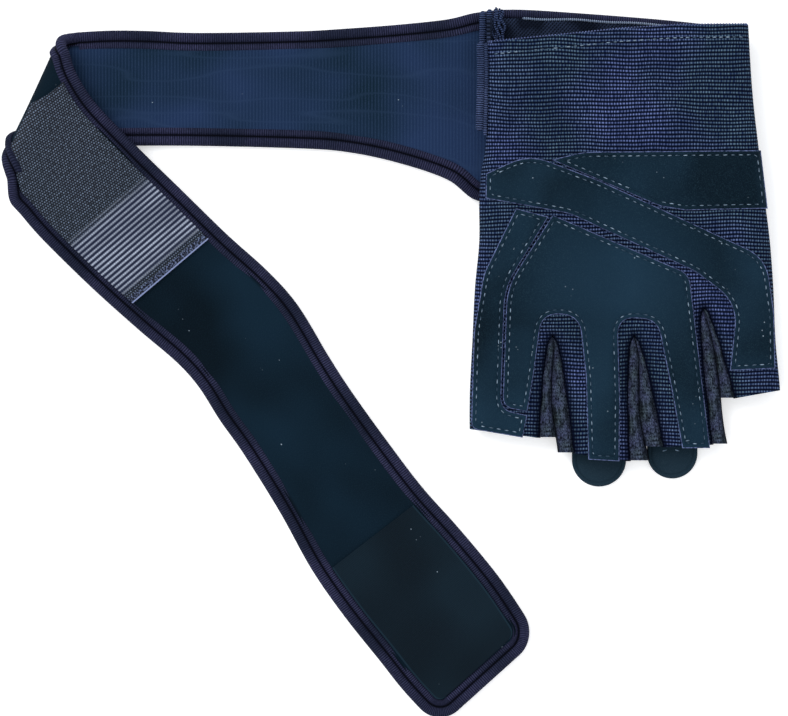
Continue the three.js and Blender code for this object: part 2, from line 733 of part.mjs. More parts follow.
function foldStation(share) {
  const from = rowPlace(STRAP_ARM[STRAP_ARM.length - 1]);
  const to = rowPlace(STRAP_TAIL[0]);
  const angle = Math.PI * share;
  const outward = new THREE.Vector3(-Math.sin(from.turn), Math.cos(from.turn), 0);
  const plan = from.centre.clone().lerp(to.centre, share);
  const centre = new THREE.Vector3(plan.x, plan.y, from.height + FOLD_RADIUS * (1 - Math.cos(angle)));
  centre.addScaledVector(outward, FOLD_RADIUS * Math.sin(angle));
  const lining = new THREE.Vector3(0, 0, Math.cos(angle)).addScaledVector(outward, -Math.sin(angle));
  return {
    centre,
    across: new THREE.Vector3(Math.cos(from.turn), Math.sin(from.turn), 0),
    lining,
    half: from.half + (to.half - from.half) * share,
  };
}

const armEnd = STRAP_ARM.length - 1;
const tailStart = armEnd + 1;
const stripEnd = tailStart + STRAP_TAIL.length - 1;

// The station at a place counted in rows from the root, the fold being one row long.
function stationAt(place) {
  if (place <= armEnd) {
    return flatStation(readRows(STRAP_ARM, Math.max(0, place)), 1);
  }
  if (place < tailStart) {
    return foldStation(place - armEnd);
  }
  return flatStation(readRows(STRAP_TAIL, Math.min(stripEnd, place) - tailStart), -1);
}

function rawEdge(place, side) {
  const station = stationAt(THREE.MathUtils.clamp(place, 0, stripEnd));
  return station.centre.clone().addScaledVector(station.across, side * station.half);
}

// Point inside one edge of the wrap, at a distance from the edge that is measured square to it.
function insideEdge(place, side, inward) {
  const station = stationAt(place);
  const along = rawEdge(place + 0.1, side).sub(rawEdge(place - 0.1, side)).normalize();
  const slant = 1 / Math.max(SHARPEST_SLANT, along.cross(station.across).length());
  return station.centre.clone().addScaledVector(station.across, side * (station.half - inward * slant));
}

const tipSpan = stationAt(stripEnd).centre.distanceTo(stationAt(stripEnd - 1).centre);

function placeBeforeTip(distance) {
  return stripEnd - distance / tipSpan;
}

// Places of the cross lines, denser in the fold.
function stripPlaces(start, end) {
  const places = [];
  for (let place = Math.ceil(start * STEPS_PER_ROW); place / STEPS_PER_ROW < end; place += 1) {
    const here = place / STEPS_PER_ROW;
    if (here <= armEnd || here >= tailStart) {
      places.push(here);
    }
    if (here === armEnd) {
      for (let i = 1; i < FOLD_STEPS; i += 1) {
        places.push(armEnd + i / FOLD_STEPS);
      }
    }
  }
  return places;
}

// Flat strip with a round-cornered tip, inside the wrap's edge by the margin and off its middle by the offset.
function strip({ start, margin, thickness, offset }) {
  const cornerRadius = Math.max(TIP_RADIUS - margin, thickness);
  const straightEnd = placeBeforeTip(margin + cornerRadius);
  const sections = stripPlaces(start, straightEnd).map((place) => ({ place, narrow: 0 }));
  for (let i = 0; i <= CORNER_STEPS; i += 1) {
    const angle = (Math.PI / 2) * (i / CORNER_STEPS) * CORNER_TURN;
    const distance = margin + cornerRadius * (1 - Math.sin(angle));
    sections.push({ place: placeBeforeTip(distance), narrow: cornerRadius * (1 - Math.cos(angle)) });
  }
  const rings = sections.map(({ place, narrow }) => {
    const { lining } = stationAt(place);
    const corner = (side, face) => insideEdge(place, side, margin + narrow)
      .addScaledVector(lining, offset + (face * thickness) / 2);
    return [corner(-1, -1), corner(1, -1), corner(1, 1), corner(-1, 1)];
  });
  return loft(rings);
}

// Rounded bar along both edges of the wrap and round its tip, grown by a clearance where it trims its neighbours.
function strapBinding(grow) {
  const middle = BINDING_WIDTH / 2;
  const radius = TIP_RADIUS - middle;
  const edge = [];
  for (const place of stripPlaces(0, placeBeforeTip(TIP_RADIUS))) {
    edge.push({ place, inward: middle });
  }
  for (let i = 0; i <= CORNER_STEPS; i += 1) {
    const angle = (Math.PI / 2) * (i / CORNER_STEPS);
    const place = placeBeforeTip(middle + radius * (1 - Math.sin(angle)));
    edge.push({ place, inward: middle + radius * (1 - Math.cos(angle)) });
  }
  const path = [1, -1].flatMap((side) => {
    const points = edge.map(({ place, inward }) => ({
      point: insideEdge(place, side, inward),
      up: stationAt(place).lining,
    }));
    return side === 1 ? points : points.reverse();
  });
  const rings = path.map(({ point, up }, i) => {
    const before = path[Math.max(0, i - 1)].point;
    const after = path[Math.min(path.length - 1, i + 1)].point;
    const along = after.clone().sub(before).normalize();
    const across = along.clone().cross(up).normalize();
    const ring = [];
    for (let k = 0; k < BINDING_SIDES; k += 1) {
      const angle = (2 * Math.PI * (k + 0.5)) / BINDING_SIDES;
      const flat = 1 / Math.cos(Math.PI / BINDING_SIDES);
      ring.push(point.clone()
        .addScaledVector(across, Math.cos(angle) * flat * (BINDING_WIDTH / 2 - SEAM_GAP + grow))
        .addScaledVector(up, Math.sin(angle) * flat * (BINDING_HEIGHT / 2 + grow)));
    }
    return ring;
  });
  return loft(rings);
}

const bindingClearance = strapBinding(SEAM_GAP);

function strapSheet() {
  const sheet = strip({ start: 0, margin: BINDING_WIDTH + SEAM_GAP, thickness: STRAP_THICKNESS, offset: 0 });
  return biggestBody(sheet.subtract(bindingClearance));
}

const faceOffset = -(STRAP_THICKNESS / 2 + SEAM_GAP + PATCH_THICKNESS / 2);

function faceLayer(start, margin) {
  return strip({ start, margin, thickness: PATCH_THICKNESS, offset: faceOffset });
}

// Half plane on one side of an end line, as a wide prism. side 1 is towards the tip.
function beyond(line, side) {
  const near = strapPlan(line.nearOut, line.nearUp);
  const far = strapPlan(line.farOut, line.farUp);
  const along = near.clone().sub(far).normalize();
  const away = new THREE.Vector2(along.y, -along.x).multiplyScalar(side * FAR);
  near.addScaledVector(along, STRAP_WIDTH);
  far.addScaledVector(along, -STRAP_WIDTH);
  const points = [near, far, far.clone().add(away), near.clone().add(away)];
  return prism(points, -FAR, FAR);
}

function webPanel() {
  const layer = faceLayer(tailStart, BINDING_WIDTH + SEAM_GAP);
  const panel = layer.intersect(beyond(WEB_START, 1)).intersect(beyond(WEB_END, -1));
  return biggestBody(panel.subtract(bindingClearance));
}

function hookPatch() {
  const layer = faceLayer(tailStart + STRAP_TAIL.length / 2, BINDING_WIDTH + SEAM_GAP);
  return biggestBody(layer.intersect(beyond(HOOK_START, 1)).subtract(bindingClearance));
}

// Assembly

const glove = new THREE.Group();

function place(name, solid, material) {
  glove.add(meshFrom(name, solid, material));
}

place("palm_panel", palmPanel(), materials.knit);
place("back_panel", backPanel(), materials.knit);
for (const crotch of CROTCHES) {
  place(`gusset_${crotch.between}`, gusset(crotch), materials.gusset);
}
place("thumb_stall", thumbStall(), materials.knit);
place("palm_pad", trimmedPad(PALM_PAD), materials.suede);
place("edge_strip", edgeStrip(), materials.suede);
place("palm_band", biggestBody(pad(PALM_BAND)), materials.suede);
place("wrist_patch", trimmedPad(WRIST_PATCH), materials.suede);
for (const tab of PULL_TABS) {
  place(tab.name, pullTab(tab), materials.suede);
}
place("slit_binding_palm", palmSlitBinding(), materials.binding);
place("slit_binding_back", backSlitBinding(), materials.binding);
place("strap", strapSheet(), materials.lining);
place("strap_binding", strapBinding(0), materials.binding);
place("web_panel", webPanel(), materials.webbing);
place("hook_patch", hookPatch(), materials.hook);

// The origin is on the floor under the middle of the whole outline.
const bounds = new THREE.Box3().setFromObject(glove);
const middle = bounds.getCenter(new THREE.Vector3());
glove.position.set(-middle.x, -middle.y, -bounds.min.z);

export default glove;
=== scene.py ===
import random
from functools import lru_cache
from math import cos, pi, radians, sin, sqrt, tan

import bpy
import numpy as np
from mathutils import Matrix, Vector

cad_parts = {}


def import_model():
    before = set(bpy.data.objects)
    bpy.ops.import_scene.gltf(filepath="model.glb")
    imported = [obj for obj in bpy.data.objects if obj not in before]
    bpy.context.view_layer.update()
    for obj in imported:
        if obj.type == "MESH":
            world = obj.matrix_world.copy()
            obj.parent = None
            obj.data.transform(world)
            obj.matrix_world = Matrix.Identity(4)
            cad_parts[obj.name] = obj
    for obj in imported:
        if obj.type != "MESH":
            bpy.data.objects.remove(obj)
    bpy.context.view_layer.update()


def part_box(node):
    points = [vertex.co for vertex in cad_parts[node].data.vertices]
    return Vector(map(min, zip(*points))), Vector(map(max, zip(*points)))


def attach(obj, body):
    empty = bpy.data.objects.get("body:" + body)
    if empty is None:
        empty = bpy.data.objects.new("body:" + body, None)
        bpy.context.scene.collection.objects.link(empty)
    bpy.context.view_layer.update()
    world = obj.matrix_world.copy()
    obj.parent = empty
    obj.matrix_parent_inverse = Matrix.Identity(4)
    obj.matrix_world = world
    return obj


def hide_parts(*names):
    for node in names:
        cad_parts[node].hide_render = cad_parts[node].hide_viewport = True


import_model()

# A fingerless weightlifting glove lying palm side up, with its long wrist wrap folded back over itself.
# Lengths are metres. X runs from the thumb side to the little finger, Y from the finger ends to the cuff.

MM = 0.001

# Hand
GLOVE_WIDTH = 109 * MM
GLOVE_LENGTH = 153 * MM
GLOVE_HEIGHT = 10.5 * MM
KNIT_WALL = 1.2 * MM
SEAM_GAP = 0.3 * MM
GUSSET_WIDTH = 12 * MM
SIDE_ROLL = 13 * MM
GAP_ROLL = 6 * MM
PAD_THICKNESS = 1.1 * MM
TAB_RADIUS = 9.5 * MM
TAB_THICKNESS = 1.5 * MM
TAB_BED = 0.75 * MM
SLIT_BINDING_WIDTH = 3.4 * MM
SLIT_BINDING_LENGTH = 31 * MM
HEM_DEPTH = 4.4 * MM
HEM_RISE = 0.35 * MM
HEM_LOOP_RADIUS = 0.55 * MM

# Thumb stall, folded flat under the back
THUMB_LENGTH = 30 * MM
THUMB_WIDTH = 34 * MM
THUMB_HEIGHT = 9 * MM
THUMB_CLEARANCE = 1.2 * MM
DRAPE_LENGTH = 26 * MM

# Wrist wrap
STRAP_REACH = 167.3 * MM
STRAP_WIDTH = 45.5 * MM
BINDING_HEIGHT = 4 * MM
FOLD_RADIUS = 3.5 * MM
TIP_RADIUS = 9 * MM
PATCH_THICKNESS = 0.9 * MM
PATCH_GAP = 0.03 * MM

# Stitching
STITCH_PITCH = 2.75 * MM
STITCH_LENGTH = 1.9 * MM
STITCH_RADIUS = 0.2 * MM
STITCH_INSET = 1.55 * MM
STITCH_RISE = 0.12 * MM
STITCH_SAG = 0.3 * MM

# Yarn and rib sizes of the fabrics
KNIT_COLUMN = 1.07 * MM
KNIT_ROW = 1.295 * MM
TWILL_RIB = 0.95 * MM
BINDING_RIB = 0.78 * MM
OVERLOCK_RIB = 0.7 * MM
LINING_RIB = 1.15 * MM
WEB_RIB = 1.62 * MM
WEB_YARN = 0.9 * MM
WEB_TWIST = 0.75 * MM
HOOK_PITCH = 0.62 * MM
# Distances from the woven panel's end line
WEB_BAND_START = 4.5 * MM
WEB_BAND_END = 29 * MM


def table(columns, rows):
    """Rows with named columns."""
    return [dict(zip(columns.split(), row)) for row in rows]


# Side edges of the hand, as shares of the glove's length and width
HAND_EDGES = table("up left right", [
    (0.0, 0.0, 0.998),
    (0.16, 0.0, 0.996),
    (0.28, 0.008, 0.981),
    (0.4, 0.016, 0.974),
    (0.51, 0.03, 0.962),
    (0.6, 0.03, 0.946),
    (0.66, 0.036, 0.936),
    (0.72, 0.05, 0.926),
    (0.81, 0.054, 0.911),
    (1.06, 0.054, 0.888),
])

# Open ends of the stalls from the index finger to the little one, and the crotches between them
FINGER_ENDS = table("left right", [
    (0.077, 0.057),
    (0.022, 0.004),
    (0.036, 0.042),
    (0.147, 0.166),
])
CROTCHES = table("between across up foot", [
    ("index_middle", 0.265, 0.285, 0.278),
    ("middle_ring", 0.527, 0.285, 0.572),
    ("ring_little", 0.751, 0.349, 0.845),
])

# Top edges of the cuff and the slit at its thumb side
PALM_CUFF_EDGE = table("across up", [
    (-0.1, 0.955),
    (0.054, 0.961),
    (0.29, 0.977),
    (0.48, 0.991),
    (0.67, 1.0),
    (1.1, 1.003),
])
BACK_CUFF_EDGE = table("across up", [
    (-0.1, 1.018),
    (0.2, 1.016),
    (0.51, 1.006),
    (0.7, 0.994),
    (1.1, 0.99),
])
SLIT = {"across": 0.054, "binding_top": 0.961}
WRAP_ROOT_UP = 0.8105

# Soft dents and swells in the palm side, with lengths as shares of the glove's length
DENTS = table("across up turn length width depth", [
    (0.14, 0.765, 62, 0.12, 0.02, 0.11),
    (0.34, 0.82, 84, 0.16, 0.03, 0.1),
    (0.58, 0.83, 98, 0.14, 0.04, 0.08),
    (0.8, 0.79, 80, 0.1, 0.03, 0.06),
])

# Corners of the suede pieces, each with its rounding radius as a share of the glove's width
PALM_PAD = table("across up round", [
    (0.265, 0.566, 0.006),
    (0.703, 0.432, 0.06),
    (0.737, 0.23, 0.4),
    (0.77, 0.034, 0.005),
    (0.681, 0.034, 0.005),
    (0.649, 0.16, 0.3),
    (0.601, 0.327, 0.065),
    (0.473, 0.334, 0.075),
    (0.481, 0.15, 0.3),
    (0.479, 0.004, 0.005),
    (0.38, 0.008, 0.005),
    (0.372, 0.2, 0.3),
    (0.35, 0.337, 0.075),
    (0.23, 0.342, 0.065),
    (0.204, 0.2, 0.3),
    (0.184, 0.117, 0.008),
    (0.105, 0.128, 0.04),
    (0.118, 0.402, 0.24),
])
EDGE_STRIP = table("across up round", [
    (0.147, 0.581, 0.006),
    (0.251, 0.562, 0.006),
    (0.112, 0.4, 0.24),
    (0.099, 0.122, 0.05),
    (0.184, 0.109, 0.006),
    (0.169, 0.058, 0.008),
    (0.004, 0.078, 0.03),
    (0.013, 0.3, 0.3),
    (0.044, 0.432, 0.2),
])
PALM_BAND = table("across up round", [
    (0.052, 0.661, 0.008),
    (0.19, 0.705, 0.16),
    (0.41, 0.646, 0.4),
    (0.95, 0.469, 0.13),
    (0.976, 0.34, 0.3),
    (0.979, 0.216, 0.006),
    (0.834, 0.211, 0.006),
    (0.857, 0.365, 0.14),
    (0.722, 0.438, 0.2),
    (0.32, 0.569, 0.2),
    (0.05, 0.604, 0.006),
])
WRIST_PATCH = table("across up round", [
    (0.262, 0.692, 0.004),
    (0.36, 0.71, 0.3),
    (0.933, 0.714, 0.006),
    (0.955, 0.581, 0.006),
    (0.69, 0.577, 0.03),
    (0.61, 0.586, 0.03),
])
PULL_TABS = table("name across up size", [
    ("pull_tab_middle", 0.415, 0.008, 1.0),
    ("pull_tab_ring", 0.65, 0.022, 0.93),
])

# Cross lines of the wrap from its root to its tip: out and up as shares of its reach, the angle of the
# cross line in degrees, the width as a share of its width and the rise as a share of the fold's height
STRAP_ARM = table("out up turn width rise", [
    (-0.54, -0.012, 90, 1.33, 0),
    (-0.4, -0.004, 90, 1.385, 0),
    (-0.22, 0.003, 90, 1.44, 0),
    (-0.08, 0.007, 90, 1.47, 0),
    (0.0, 0.004, 90, 1.446, 0),
    (0.063, 0.019, 90, 1.23, 0),
    (0.167, 0.031, 90, 1.06, 0),
    (0.272, 0.038, 90, 0.95, 0),
    (0.377, 0.039, 90, 0.9, 0),
    (0.591, 0.04, 87, 0.87, 0),
    (0.713, 0.042, 79, 0.9, 0),
    (0.821, 0.042, 69, 0.95, 0),
    (0.892, 0.039, 64.5, 0.98, 0),
])
STRAP_TAIL = table("out up turn width rise", [
    (0.917, -0.015, 64.5, 1.1, 1),
    (0.906, -0.061, 62, 1.1, 1),
    (0.873, -0.108, 56, 1.03, 0.94),
    (0.805, -0.181, 47, 1.02, 0.76),
    (0.71, -0.274, 47, 1.02, 0.36),
    (0.615, -0.363, 47, 1.0, 0.08),
    (0.533, -0.435, 46, 0.99, 0),
    (0.478, -0.497, 41, 0.99, 0),
    (0.423, -0.586, 32, 0.97, 0),
    (0.373, -0.66, 29, 0.96, 0),
    (0.299, -0.771, 33, 0.99, 0),
    (0.23, -0.878, 37, 1.06, 0),
    (0.16, -0.967, 39, 1.11, 0),
    (0.088, -1.055, 40, 1.12, 0),
    (0.039, -1.119, 42, 1.11, 0),
    (-0.025, -1.201, 42, 1.04, 0),
])

# End lines of the patches on the wrap's outer face, two points each, as shares of its reach
WEB_START = {"near": (0.874, 0.046), "far": (0.962, -0.025)}
WEB_END = {"near": (0.565, -0.276), "far": (0.718, -0.406)}
HOOK_START = {"near": (0.126, -0.824), "far": (0.299, -0.958)}

# Half of the bound edge's section, from the outer edge inwards: depth is the distance from the edge in
# millimetres, height a share of the half height
BINDING_PROFILE = table("depth height", [
    (0.0, 0.0),
    (0.1, 0.36),
    (0.45, 0.72),
    (1.0, 0.95),
    (1.65, 1.0),
    (2.35, 0.95),
    (2.95, 0.78),
    (3.3, 0.5),
    (3.75, 0.44),
    (4.15, 0.5),
    (4.4, 0.7),
    (4.9, 0.8),
    (5.6, 0.8),
    (6.2, 0.72),
    (6.4, 0.52),
    (6.4, 0.3),
])
GROOVE_DEPTH = 3.7 * MM

palm_low, palm_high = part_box("palm_panel")
ORIGIN = Vector((palm_low.x, palm_low.y - FINGER_ENDS[1]["right"] * GLOVE_LENGTH, 0))


# Helpers for tables and shapes

def smooth_step(value, low, high):
    share = np.clip((value - low) / (high - low), 0, 1)
    return share * share * (3 - 2 * share)


def read_table(table, key, column, value):
    keys = np.array([row[key] for row in table])
    values = np.array([row[column] for row in table])
    slopes = np.gradient(values, keys)
    index = np.clip(np.searchsorted(keys, value) - 1, 0, len(keys) - 2)
    span = keys[index + 1] - keys[index]
    share = np.clip((value - keys[index]) / span, 0, 1)
    rest = 1 - share
    ends = values[index] * (1 + 2 * share) * rest**2 + values[index + 1] * share**2 * (3 - 2 * share)
    bends = span * share * rest * (slopes[index] * rest - slopes[index + 1] * share)
    return ends + bends


FINE_STEPS = 400
fine_up = np.linspace(-0.1, 1.1, FINE_STEPS)
side_edges = {side: read_table(HAND_EDGES, "up", side, fine_up) * GLOVE_WIDTH for side in ("left", "right")}


def hand_edge(y, side):
    return np.interp(y / GLOVE_LENGTH, fine_up, side_edges[side])


def cuff_edge(table, x):
    across, up = ([row[key] for row in table] for key in ("across", "up"))
    return np.interp(x / GLOVE_WIDTH, across, up) * GLOVE_LENGTH


def world(x, y, z):
    return Vector((x + ORIGIN.x, y + ORIGIN.y, z))


strap_root = Vector((SLIT["across"] * GLOVE_WIDTH - SLIT_BINDING_WIDTH, WRAP_ROOT_UP * GLOVE_LENGTH))
root_row = next(row for row in STRAP_ARM if row["out"] == 0)
root_bottom = strap_root.y + root_row["up"] * STRAP_REACH - root_row["width"] * STRAP_WIDTH / 2
thumb_top = root_bottom - THUMB_CLEARANCE
thumb_bottom = thumb_top - THUMB_WIDTH


def lift_at(x, y):
    on_root = (BINDING_HEIGHT + SEAM_GAP) * smooth_step(y, root_bottom - DRAPE_LENGTH, root_bottom)
    beside = 1 - smooth_step(x, THUMB_LENGTH, THUMB_LENGTH + DRAPE_LENGTH)
    below = smooth_step(y, thumb_bottom - DRAPE_LENGTH, thumb_bottom)
    over = 1 - smooth_step(y, thumb_top, thumb_top + DRAPE_LENGTH)
    return np.maximum(on_root, (THUMB_HEIGHT + SEAM_GAP) * beside * below * over)


def dent_at(x, y):
    depth = 0
    for dent in DENTS:
        turn = radians(dent["turn"])
        offset_x = x - dent["across"] * GLOVE_WIDTH
        offset_y = y - dent["up"] * GLOVE_LENGTH
        along = (offset_x * cos(turn) + offset_y * sin(turn)) / (dent["length"] * GLOVE_LENGTH)
        aside = (offset_y * cos(turn) - offset_x * sin(turn)) / (dent["width"] * GLOVE_LENGTH)
        depth = depth + dent["depth"] * GLOVE_HEIGHT * np.exp(-(along**2) - aside**2)
    return depth


def roll(distance, radius):
    """Share of the full height at a distance from a rolled edge."""
    inward = np.clip(distance / radius, 0, 1)
    return (1 - (1 - inward) ** 2.5) ** 0.4


def gap_middle(crotch, y):
    share = 1 - y / (crotch["up"] * GLOVE_LENGTH)
    return (crotch["across"] + (crotch["foot"] - crotch["across"]) * share) * GLOVE_WIDTH


def gap_half(crotch, y):
    share = np.clip(1 - y / (crotch["up"] * GLOVE_LENGTH), 0, 1)
    return GUSSET_WIDTH / 2 * share**0.55


def beside_gaps(x, y):
    """0 in the gaps between the stalls, 1 away from them."""
    share = 1
    for crotch in CROTCHES:
        top = crotch["up"] * GLOVE_LENGTH
        beside = np.abs(x - gap_middle(crotch, np.minimum(y, top))) - gap_half(crotch, y)
        above = np.maximum(y - top, 0)
        share = share * roll(np.hypot(np.maximum(beside, 0), above), GAP_ROLL)
    return share


def bulge_at(x, y):
    """Share of the hand's half height over a place: 0 at the side seams and the gaps, 1 in the middle."""
    bulge = roll(x - hand_edge(y, "left"), SIDE_ROLL) * roll(hand_edge(y, "right") - x, SIDE_ROLL)
    return bulge * beside_gaps(x, y)


def seam_height(x, y):
    return lift_at(x, y) + GLOVE_HEIGHT / 2


def palm_height(x, y):
    bulge = bulge_at(x, y)
    return seam_height(x, y) + bulge * (GLOVE_HEIGHT / 2 - dent_at(x, y))


def back_height(x, y):
    return seam_height(x, y) - bulge_at(x, y) * GLOVE_HEIGHT / 2


def distances_along(points):
    """Distances of a path's points from its start."""
    steps = [(b - a).length for a, b in zip(points, points[1:])]
    return np.concatenate([[0], np.cumsum(steps)])


# Helpers for modelling

def select_only(*pieces):
    if bpy.context.mode != "OBJECT":
        bpy.ops.object.mode_set(mode="OBJECT")
    bpy.ops.object.select_all(action="DESELECT")
    for piece in pieces:
        piece.select_set(True)
    bpy.context.view_layer.objects.active = pieces[0]


def edit_all(piece, operator, **settings):
    """Runs a mesh operator on the whole of a piece."""
    select_only(piece)
    bpy.ops.object.mode_set(mode="EDIT")
    bpy.ops.mesh.select_all(action="SELECT")
    operator(**settings)
    bpy.ops.object.mode_set(mode="OBJECT")


def merge_doubles(piece, distance=0.005 * MM):
    edit_all(piece, bpy.ops.mesh.remove_doubles, threshold=distance)


def point_outwards(piece):
    edit_all(piece, bpy.ops.mesh.normals_make_consistent, inside=False)


def close_tube(piece):
    """Joins the sides of a grid that is rolled up to a tube, and fills its ends."""
    merge_doubles(piece)
    edit_all(piece, bpy.ops.mesh.fill_holes, sides=0)
    point_outwards(piece)


def thicken(piece, thickness, offset=-1, **settings):
    """Gives a surface its wall."""
    select_only(piece)
    wall = piece.modifiers.new("Wall", "SOLIDIFY")
    settings = {"thickness": thickness, "offset": offset, "use_even_offset": False, **settings}
    for name, value in settings.items():
        setattr(wall, name, value)
    bpy.ops.object.modifier_apply(modifier=wall.name)


def join(name, parts):
    select_only(*parts)
    bpy.ops.object.join()
    piece = bpy.context.view_layer.objects.active
    piece.name = piece.data.name = name
    return piece


def placed_grid(name, columns, rows, place, pattern):
    """A grid primitive whose corner (i, j) moves to place(i, j), with pattern(i, j) in metres as its UV."""
    bpy.ops.object.select_all(action="DESELECT")
    bpy.ops.mesh.primitive_grid_add(x_subdivisions=columns, y_subdivisions=rows, size=2)
    piece = bpy.context.active_object
    piece.name = piece.data.name = name
    patterns = []
    for vertex in piece.data.vertices:
        i = round((vertex.co.x + 1) / 2 * columns)
        j = round((vertex.co.y + 1) / 2 * rows)
        vertex.co = place(i, j)
        patterns.append(pattern(i, j))
    layer = piece.data.uv_layers.active
    for loop in piece.data.loops:
        layer.data[loop.index].uv = patterns[loop.vertex_index]
    return piece


def shade_points(piece, values):
    """Stores how open to the light each corner lies, for the knit."""
    layer = piece.data.attributes.new("shade", "FLOAT", "POINT")
    layer.data.foreach_set("value", np.asarray(values, dtype=float))


def cover(piece, *fabrics):
    piece.data.materials.clear()
    for fabric in fabrics:
        piece.data.materials.append(materials[fabric])


def finish_piece(piece, node, fabric=None, angle=50):
    """Smooths a piece and gives it its fabric and its place in the frame."""
    select_only(piece)
    bpy.ops.object.shade_smooth_by_angle(angle=radians(angle))
    if fabric:
        cover(piece, fabric)
    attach(piece, "root")
    if node:
        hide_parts(node)
    return piece


# Helpers for materials

# How much brighter than its base colour a flat matte face looks in this light
LIGHT_GAIN = 1.22
FLOOR_GLOW = 0.4
FLOOR_WHITE = (0.92, 0.92, 0.925, 1)
LINT_COLOUR = "#93a5b4"


def linear(code):
    """The base colour that looks like a hex code under the scene's light."""
    parts = [int(code[i:i + 2], 16) / 255 for i in (1, 3, 5)]
    curve = [part / 12.92 if part <= 0.04045 else ((part + 0.055) / 1.055) ** 2.4 for part in parts]
    return (*[part / LIGHT_GAIN for part in curve], 1)


class Field:
    """A value in a fabric's node tree, with plain signs for its arithmetic."""

    def __init__(self, fabric, socket):
        self.fabric = fabric
        self.socket = socket

    def __add__(self, other):
        return self.fabric.math("ADD", self, other)

    def __sub__(self, other):
        return self.fabric.math("SUBTRACT", self, other)

    def __rsub__(self, other):
        return self.fabric.math("SUBTRACT", other, self)

    def __mul__(self, other):
        return self.fabric.math("MULTIPLY", self, other)

    def __truediv__(self, other):
        return self.fabric.math("DIVIDE", self, other)

    def __abs__(self):
        return self.fabric.math("ABSOLUTE", self)

    def spread(self, low, high, to_low=0.0, to_high=1.0):
        inputs = {"Value": self, "From Min": low, "From Max": high, "To Min": to_low, "To Max": to_high}
        return self.fabric.field("ShaderNodeMapRange", inputs, "Result", clamp=True)

    def wave(self, sharpness=1.0):
        """1 at whole numbers, 0 between them."""
        swing = self.fabric.math("COSINE", self * (2 * pi))
        return self.fabric.math("POWER", swing * 0.5 + 0.5, sharpness)


class Fabric:
    """A material with short calls for the nodes that the fabrics need."""

    def __init__(self, name, roughness, specular=0.04):
        self.material = bpy.data.materials.new(name)
        self.material.use_nodes = True
        self.tree = self.material.node_tree
        self.surface = self.tree.nodes["Principled BSDF"]
        self.surface.inputs["Roughness"].default_value = roughness
        self.surface.inputs["Specular IOR Level"].default_value = specular

    def field(self, kind, inputs, output=0, **settings):
        node = self.tree.nodes.new(kind)
        for name, value in settings.items():
            setattr(node, name, value)
        for key, value in inputs.items():
            if isinstance(value, Field):
                self.tree.links.new(value.socket, node.inputs[key])
            else:
                node.inputs[key].default_value = value
        return Field(self, node.outputs[output])

    def coordinates(self, space="UV", scale=(1, 1), turn=0.0):
        source = self.field("ShaderNodeTexCoord", {}, space)
        inputs = {"Vector": source, "Scale": (*scale, 1), "Rotation": (0, 0, radians(turn))}
        return self.field("ShaderNodeMapping", inputs, "Vector")

    def axes(self, vector):
        return [self.field("ShaderNodeSeparateXYZ", {"Vector": vector}, axis) for axis in "XY"]

    def math(self, operation, *values):
        return self.field("ShaderNodeMath", dict(enumerate(values)), operation=operation)

    def noise(self, vector, scale, detail=2.0, roughness=0.5):
        inputs = {"Vector": vector, "Scale": scale, "Detail": detail, "Roughness": roughness}
        return self.field("ShaderNodeTexNoise", inputs, "Fac")

    def long_noise(self, scale, detail=1.0, roughness=0.5, turn=0.0):
        """Noise on the cloth's own pattern, drawn out by two scales."""
        return self.noise(self.coordinates(scale=scale, turn=turn), 1.0, detail, roughness)

    def mix(self, share, first, second):
        pair = [value if isinstance(value, Field) else linear(value) for value in (first, second)]
        return self.field("ShaderNodeMix", {0: share, 6: pair[0], 7: pair[1]}, 2, data_type="RGBA")

    def dust(self, vector, colour, scale, size):
        """Adds a few pale specks of lint to a colour."""
        cells = self.field("ShaderNodeTexVoronoi", {"Vector": vector, "Scale": scale}, "Distance")
        chance = self.noise(vector, scale * 0.21, 1.0).spread(0.6, 0.66)
        return self.mix(cells.spread(size, size * 0.5) * chance, colour, LINT_COLOUR)

    def paint_edge_shade(self, x, colour, reach, shadow):
        """Paints shade onto the wrap's faces beside the bound edges."""
        beside = self.math("MINIMUM", x, STRAP_WIDTH - x)
        return self.mix(beside.spread(reach, 0.2 * MM, 0.0, 0.75), colour, shadow)

    def finish(self, colour, height=None, depth=0.0, strength=1.0):
        self.tree.links.new(colour.socket, self.surface.inputs["Base Color"])
        if height:
            inputs = {"Height": height, "Distance": depth, "Strength": strength}
            bump = self.field("ShaderNodeBump", inputs, "Normal")
            self.tree.links.new(bump.socket, self.surface.inputs["Normal"])
        return self.material


def knit_material(name, ground, row_tone, loop_tone, grey_tone):
    """Straight rows of small pale loops on a nearly black ground, in broad violet and grey patches, with
    painted shade darkening it into the gaps between the stalls.
    """
    knit = Fabric(name, roughness=0.9)
    flat = knit.coordinates()
    x, y = knit.axes(flat)
    columns = (knit.noise(flat, 160, 1.0) * (0.9 * MM) + x) / KNIT_COLUMN
    rows = (knit.noise(flat, 45, 1.0) * (2.6 * MM) + y) / KNIT_ROW
    whole = {"X": knit.math("ROUND", columns), "Y": knit.math("ROUND", rows)}
    cell = knit.field("ShaderNodeCombineXYZ", whole)
    luck = knit.field("ShaderNodeTexWhiteNoise", {"Vector": cell}, "Value")
    across = (luck * 0.4 + columns).wave(1.25)
    along = rows.wave(1.7)
    thread = knit.noise(flat, 2600, 3.0).spread(0.3, 0.6, 0.7, 1.0)
    patch = knit.noise(flat, 26).spread(0.42, 0.6)
    glow = knit.noise(flat, 60).spread(0.35, 0.66, 0.6, 1.0)
    # painted shade: the stored shade darkens the knit towards the gaps between the stalls
    lit = knit.field("ShaderNodeAttribute", {}, "Fac", attribute_name="shade").spread(0.62, 0.99, 0.03, 1.0)
    bright = across * luck.spread(0, 1, 0.45, 1.0) * thread * glow
    loops = knit.mix(bright, row_tone, knit.mix(patch, grey_tone, loop_tone))
    return knit.finish(knit.mix(along * lit, ground, loops), along * (across + 0.6), 0.22 * MM, 0.8)


